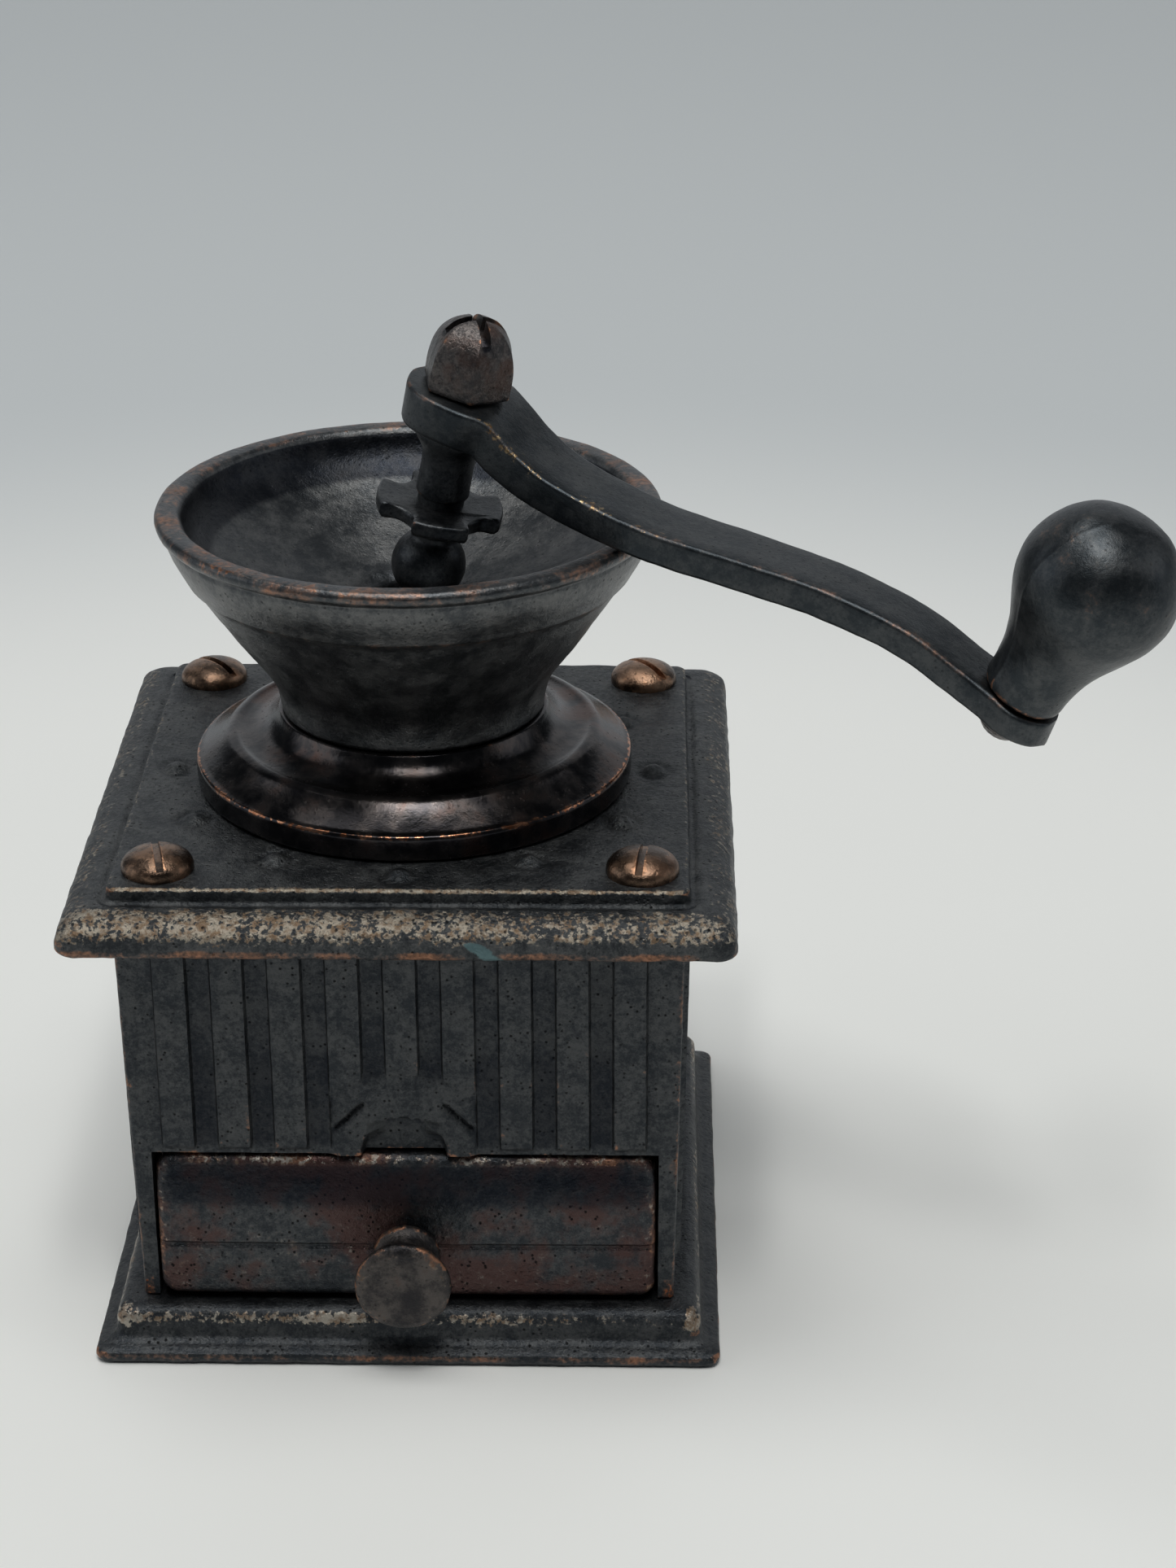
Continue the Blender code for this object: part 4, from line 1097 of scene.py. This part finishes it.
def build_acorn_nut(mat):
    outline = [(0.0, 21.45, 0), (3.15, 21.45, 0.2), (3.3, 21.7, 0.3), (3.32, 23.2, 1.0),
               (3.15, 24.4, 1.0), (2.65, 25.5, 1.0), (1.8, 26.4, 0.8), (0.9, 26.8, 0.5),
               (0.0, 26.88, 0)]
    outline = [(r * 1.03, z, rounding) for r, z, rounding in outline]
    seat = CRANK @ Matrix.Translation((0.23, 0.10, 0))

    def facets(r, a, z):
        turn = (a - 0.061) % (math.pi / 3) - math.pi / 6
        flat = math.cos(math.pi / 6) / math.cos(turn)
        keep = 1 - 0.55 * ease(z, 24.0, 26.6)
        return r * (1 + (max(flat, 0.875) - 1.0) * keep)
    nut = turned("acorn_cap_nut", outline, 120, 0.25, False, seat, facets)
    for a in (math.pi / 4, 3 * math.pi / 4):
        tool = block("slot", -4, 4, -0.36, 0.36, 25.75, 29, seat @ Matrix.Rotation(a, 4, "Z"))
        subtract(nut, tool)
    nut.data.set_sharp_from_angle(angle=math.radians(50))
    noise_shift(nut, 1.5, 0.05, 3.5)
    dress(nut, mat, "crank", ("acorn_nut",), gain=0.5)


def build_handle(mat):
    outline = [(0.0, 0.1, 0), (2.45, 0.1, 0.3), (2.85, 0.45, 0.35), (2.97, 1.0, 0.5),
               (2.97, 1.8, 0.6), (3.13, 3.0, 1.0), (3.43, 4.15, 1.0), (3.86, 5.4, 1.2),
               (4.63, 6.95, 1.4), (5.38, 8.6, 1.4), (5.66, 10.3, 1.4), (5.4, 11.85, 1.4),
               (4.72, 13.3, 1.3), (3.78, 14.5, 1.2), (2.4, 15.35, 1.0), (0.96, 15.68, 0.6),
               (0.0, 15.72, 0)]
    outline = [(r * 1.02, z, rounding) for r, z, rounding in outline]

    def seam(r, a, z):
        """A low parting ridge on two opposite sides."""
        turn = (a - 0.9) % math.pi
        away = min(turn, math.pi - turn) * r
        return r + 0.055 * bell(away, 0.0, 0.17) * ease(r, 1.0, 2.5) - 0.03
    handle = turned("pear_handle", outline, 200, 0.35, False, KNOB, seam)
    noise_shift(handle, 3.0, 0.09, 1.5)

    def palm(p, n):
        return 0.10 * ease(n.z, 0.2, 0.8)

    def blush(p, n):
        return 0.13 + 0.26 * noise.noise(p * 0.16 + Vector((3.0, 1.0, 6.0)))
    dress(handle, mat, "knob", ("handle_knob",), rub=palm, gain=0.9, copper=blush)


# ---- set the scene ----
FLOOR_REACH = 3.0          # metres
# painted fall-off of the light on the floor
FLOOR_PAINTED_FALLOFF = (            # from and to, millimetres off the middle, and the colour beyond
    (95.0, 215.0, (0.60, 0.63, 0.64)),
    (190.0, 520.0, (0.56, 0.59, 0.60)))


def build_stage():
    """A pale flat floor, brightest round the mill and greyer further off: a painted fall-off of the
    light.
    """
    ends = (-FLOOR_REACH, FLOOR_REACH)
    verts = [(x, y, 0.0) for y in ends for x in ends]
    mesh = bpy.data.meshes.new("floor")
    mesh.from_pydata(verts, [], [(0, 1, 3, 2)])
    obj = bpy.data.objects.new("floor", mesh)
    show(obj)
    g = Graph("pale_board")
    tone = g.noise(0.01, 4, 0.5)
    colour = g.mix(tone, (0.87, 0.88, 0.855), (0.92, 0.925, 0.90))
    span = g.add("ShaderNodeVectorMath")
    span.operation = "LENGTH"
    g.link(g.place, span.inputs[0])
    for near, far, grey in FLOOR_PAINTED_FALLOFF:
        colour = g.mix(g.range(span.outputs["Value"], near, far), colour, grey)
    g.link(colour, g.shader.inputs["Base Color"])
    g.shader.inputs["Roughness"].default_value = 0.6
    g.shader.inputs["Specular IOR Level"].default_value = 0.2
    mesh.materials.append(g.mat)


WARM = (1.0, 0.995, 0.975)
COOL = (0.94, 0.97, 1.0)
LAMPS = (                  # name, place, height aimed at, width, depth, power, colour
    ("overhead", (-0.07, -0.07, 1.20), 0.0, 1.06, 0.60, 6.4, WARM),
    ("left_wall", (-1.04, -0.05, 0.46), 0.04, 0.78, 0.78, 1.9, COOL),
    ("right_wall", (1.04, 0.05, 0.46), 0.04, 0.78, 0.78, 1.2, COOL),
    ("back_wall", (0.0, 1.00, 0.42), 0.04, 1.60, 0.90, 2.3, COOL),
    ("strip_left", (-0.069, -0.438, 0.969), 0.05, 0.083, 0.277, 1.5, WARM),
    ("strip_right", (0.120, -0.438, 0.969), 0.05, 0.083, 0.277, 1.5, WARM))


def build_light():
    world = bpy.data.worlds.new("studio")
    world.use_nodes = True
    back = world.node_tree.nodes["Background"]
    back.inputs["Color"].default_value = (0.80, 0.90, 1.0, 1.0)
    back.inputs["Strength"].default_value = 0.06
    bpy.context.scene.world = world
    for name, place, aim, width, depth, power, colour in LAMPS:
        data = bpy.data.lights.new(name, "AREA")
        data.energy = power
        data.color = colour
        data.shape = "RECTANGLE"
        data.size = width
        data.size_y = depth
        lamp = bpy.data.objects.new(name, data)
        lamp.location = place
        lamp.rotation_mode = "QUATERNION"
        sight = Vector((0, 0, aim)) - Vector(place)
        lamp.rotation_quaternion = sight.to_track_quat("-Z", "Y")
        lamp.visible_camera = False
        show(lamp)


def build_camera():
    az, el, roll = (math.radians(v) for v in (CAM_AZIMUTH, CAM_ELEVATION, CAM_ROLL))
    back = Vector((math.sin(az) * math.cos(el), -math.cos(az) * math.cos(el), math.sin(el)))
    flat = Vector((math.cos(az), math.sin(az), 0.0))
    rise = back.cross(flat)
    right = flat * math.cos(roll) + rise * math.sin(roll)
    up = rise * math.cos(roll) - flat * math.sin(roll)
    data = bpy.data.cameras.new("camera")
    data.lens = CAM_FOCAL
    data.sensor_width = 36.0
    data.clip_start = 0.005
    data.clip_end = 10.0
    cam = bpy.data.objects.new("camera", data)
    cam.location = (back * CAM_DISTANCE + right * CAM_RIGHT + up * CAM_UP) * MM
    cam.rotation_mode = "QUATERNION"
    cam.rotation_quaternion = Matrix((right, up, back)).transposed().to_quaternion()
    show(cam)
    bpy.context.scene.camera = cam


def dress_cad_nodes(looks, usual):
    """Give the CAD nodes that still show their materials."""
    for name, node in NODES.items():
        if not node.hide_render:
            for slot in node.material_slots:
                slot.material = looks.get(name, usual)


def main():
    bpy.context.scene.view_settings.view_transform = "Standard"
    bronze = patina("bronze_box", seed=1.0, warmth=0.05, rough=(0.42, 0.58),
                    bare=(0.42, 0.15, 0.07))
    lid = patina("bronze_lid", seed=5.0, pits=1.1, warmth=0.1, grain=2.6, bump=0.75,
                 dark=(0.036, 0.040, 0.044), light=(0.115, 0.119, 0.120),
                 bare=(0.36, 0.322, 0.262))
    base = patina("bronze_base", seed=11.0, warmth=0.15, bare=(0.42, 0.385, 0.33), grain=2.6)
    bowl = patina("bronze_bowl", seed=17.0, pits=0.6, rough=(0.30, 0.44), bump=0.28,
                  dark=(0.058, 0.063, 0.068), light=(0.150, 0.152, 0.152),
                  warmth=0.1, bare=(0.36, 0.19, 0.12), wear=(0.50, 0.80), speckle=0.45)
    foot = patina("bronze_foot", seed=23.0, pits=0.3, rough=(0.16, 0.26), bump=0.10,
                  dark=(0.026, 0.025, 0.027), light=(0.084, 0.074, 0.071), warmth=0.55,
                  bare=(0.50, 0.25, 0.15), speckle=0.25)
    drawer = patina("bronze_drawer", seed=29.0, pits=1.25, rough=(0.26, 0.42), warmth=0.78,
                    warm=(0.085, 0.040, 0.034), bare=(0.34, 0.32, 0.29))
    pull = patina("bronze_pull", seed=31.0, pits=0.5, bare=(0.22, 0.18, 0.15), speckle=0.3,
                  dark=(0.030, 0.029, 0.031), light=(0.105, 0.094, 0.088))
    crank = patina("bronze_crank", seed=37.0, pits=0.35, rough=(0.34, 0.46), bump=0.18,
                   dark=(0.036, 0.042, 0.047), light=(0.082, 0.087, 0.090),
                   bare=(0.40, 0.31, 0.18), wear=(0.55, 0.85), warmth=0.05, speckle=0.4)
    stem = patina("bronze_stem", seed=41.0, pits=0.3, rough=(0.32, 0.48), bump=0.25,
                  wear=(0.6, 0.9), warmth=0.05)
    nut = patina("bronze_nut", seed=43.0, pits=0.5, rough=(0.28, 0.42), warmth=0.35,
                 dark=(0.058, 0.055, 0.056), light=(0.19, 0.17, 0.16), wear=(0.5, 0.8))
    screw = patina("copper_screw_head", seed=47.0, pits=0.5, rough=(0.22, 0.34), warmth=0.4,
                   dark=(0.075, 0.050, 0.036), light=(0.33, 0.205, 0.135), bump=0.3,
                   worn=(0.50, 0.27, 0.16), bare=(0.62, 0.38, 0.25), wear=(0.35, 0.6),
                   speckle=0.12)
    iron = plain_metal("inner_iron", (0.16, 0.155, 0.15), 0.42, 2.0)
    steel = plain_metal("inner_steel", (0.42, 0.41, 0.39), 0.26, 6.0, 1.4)
    tray = patina("tray_bronze", seed=53.0, pits=0.6)

    build_base(base)
    build_body(bronze)
    build_posts(bronze)
    build_lid(lid)
    build_screws(screw)
    build_foot(foot)
    build_bowl(bowl)
    build_drawer_front(drawer)
    build_drawer_pull(pull)
    build_stem(stem)
    build_star_nut(stem)
    build_arm(crank)
    build_acorn_nut(nut)
    build_handle(crank)
    looks = dict.fromkeys(("outer_burr", "inner_burr", "shaft_guide", "lower_bridge"), iron)
    looks.update(drawer_tray=tray, knob_pin=nut)
    dress_cad_nodes(looks, steel)
    build_stage()
    build_light()
    build_camera()


main()
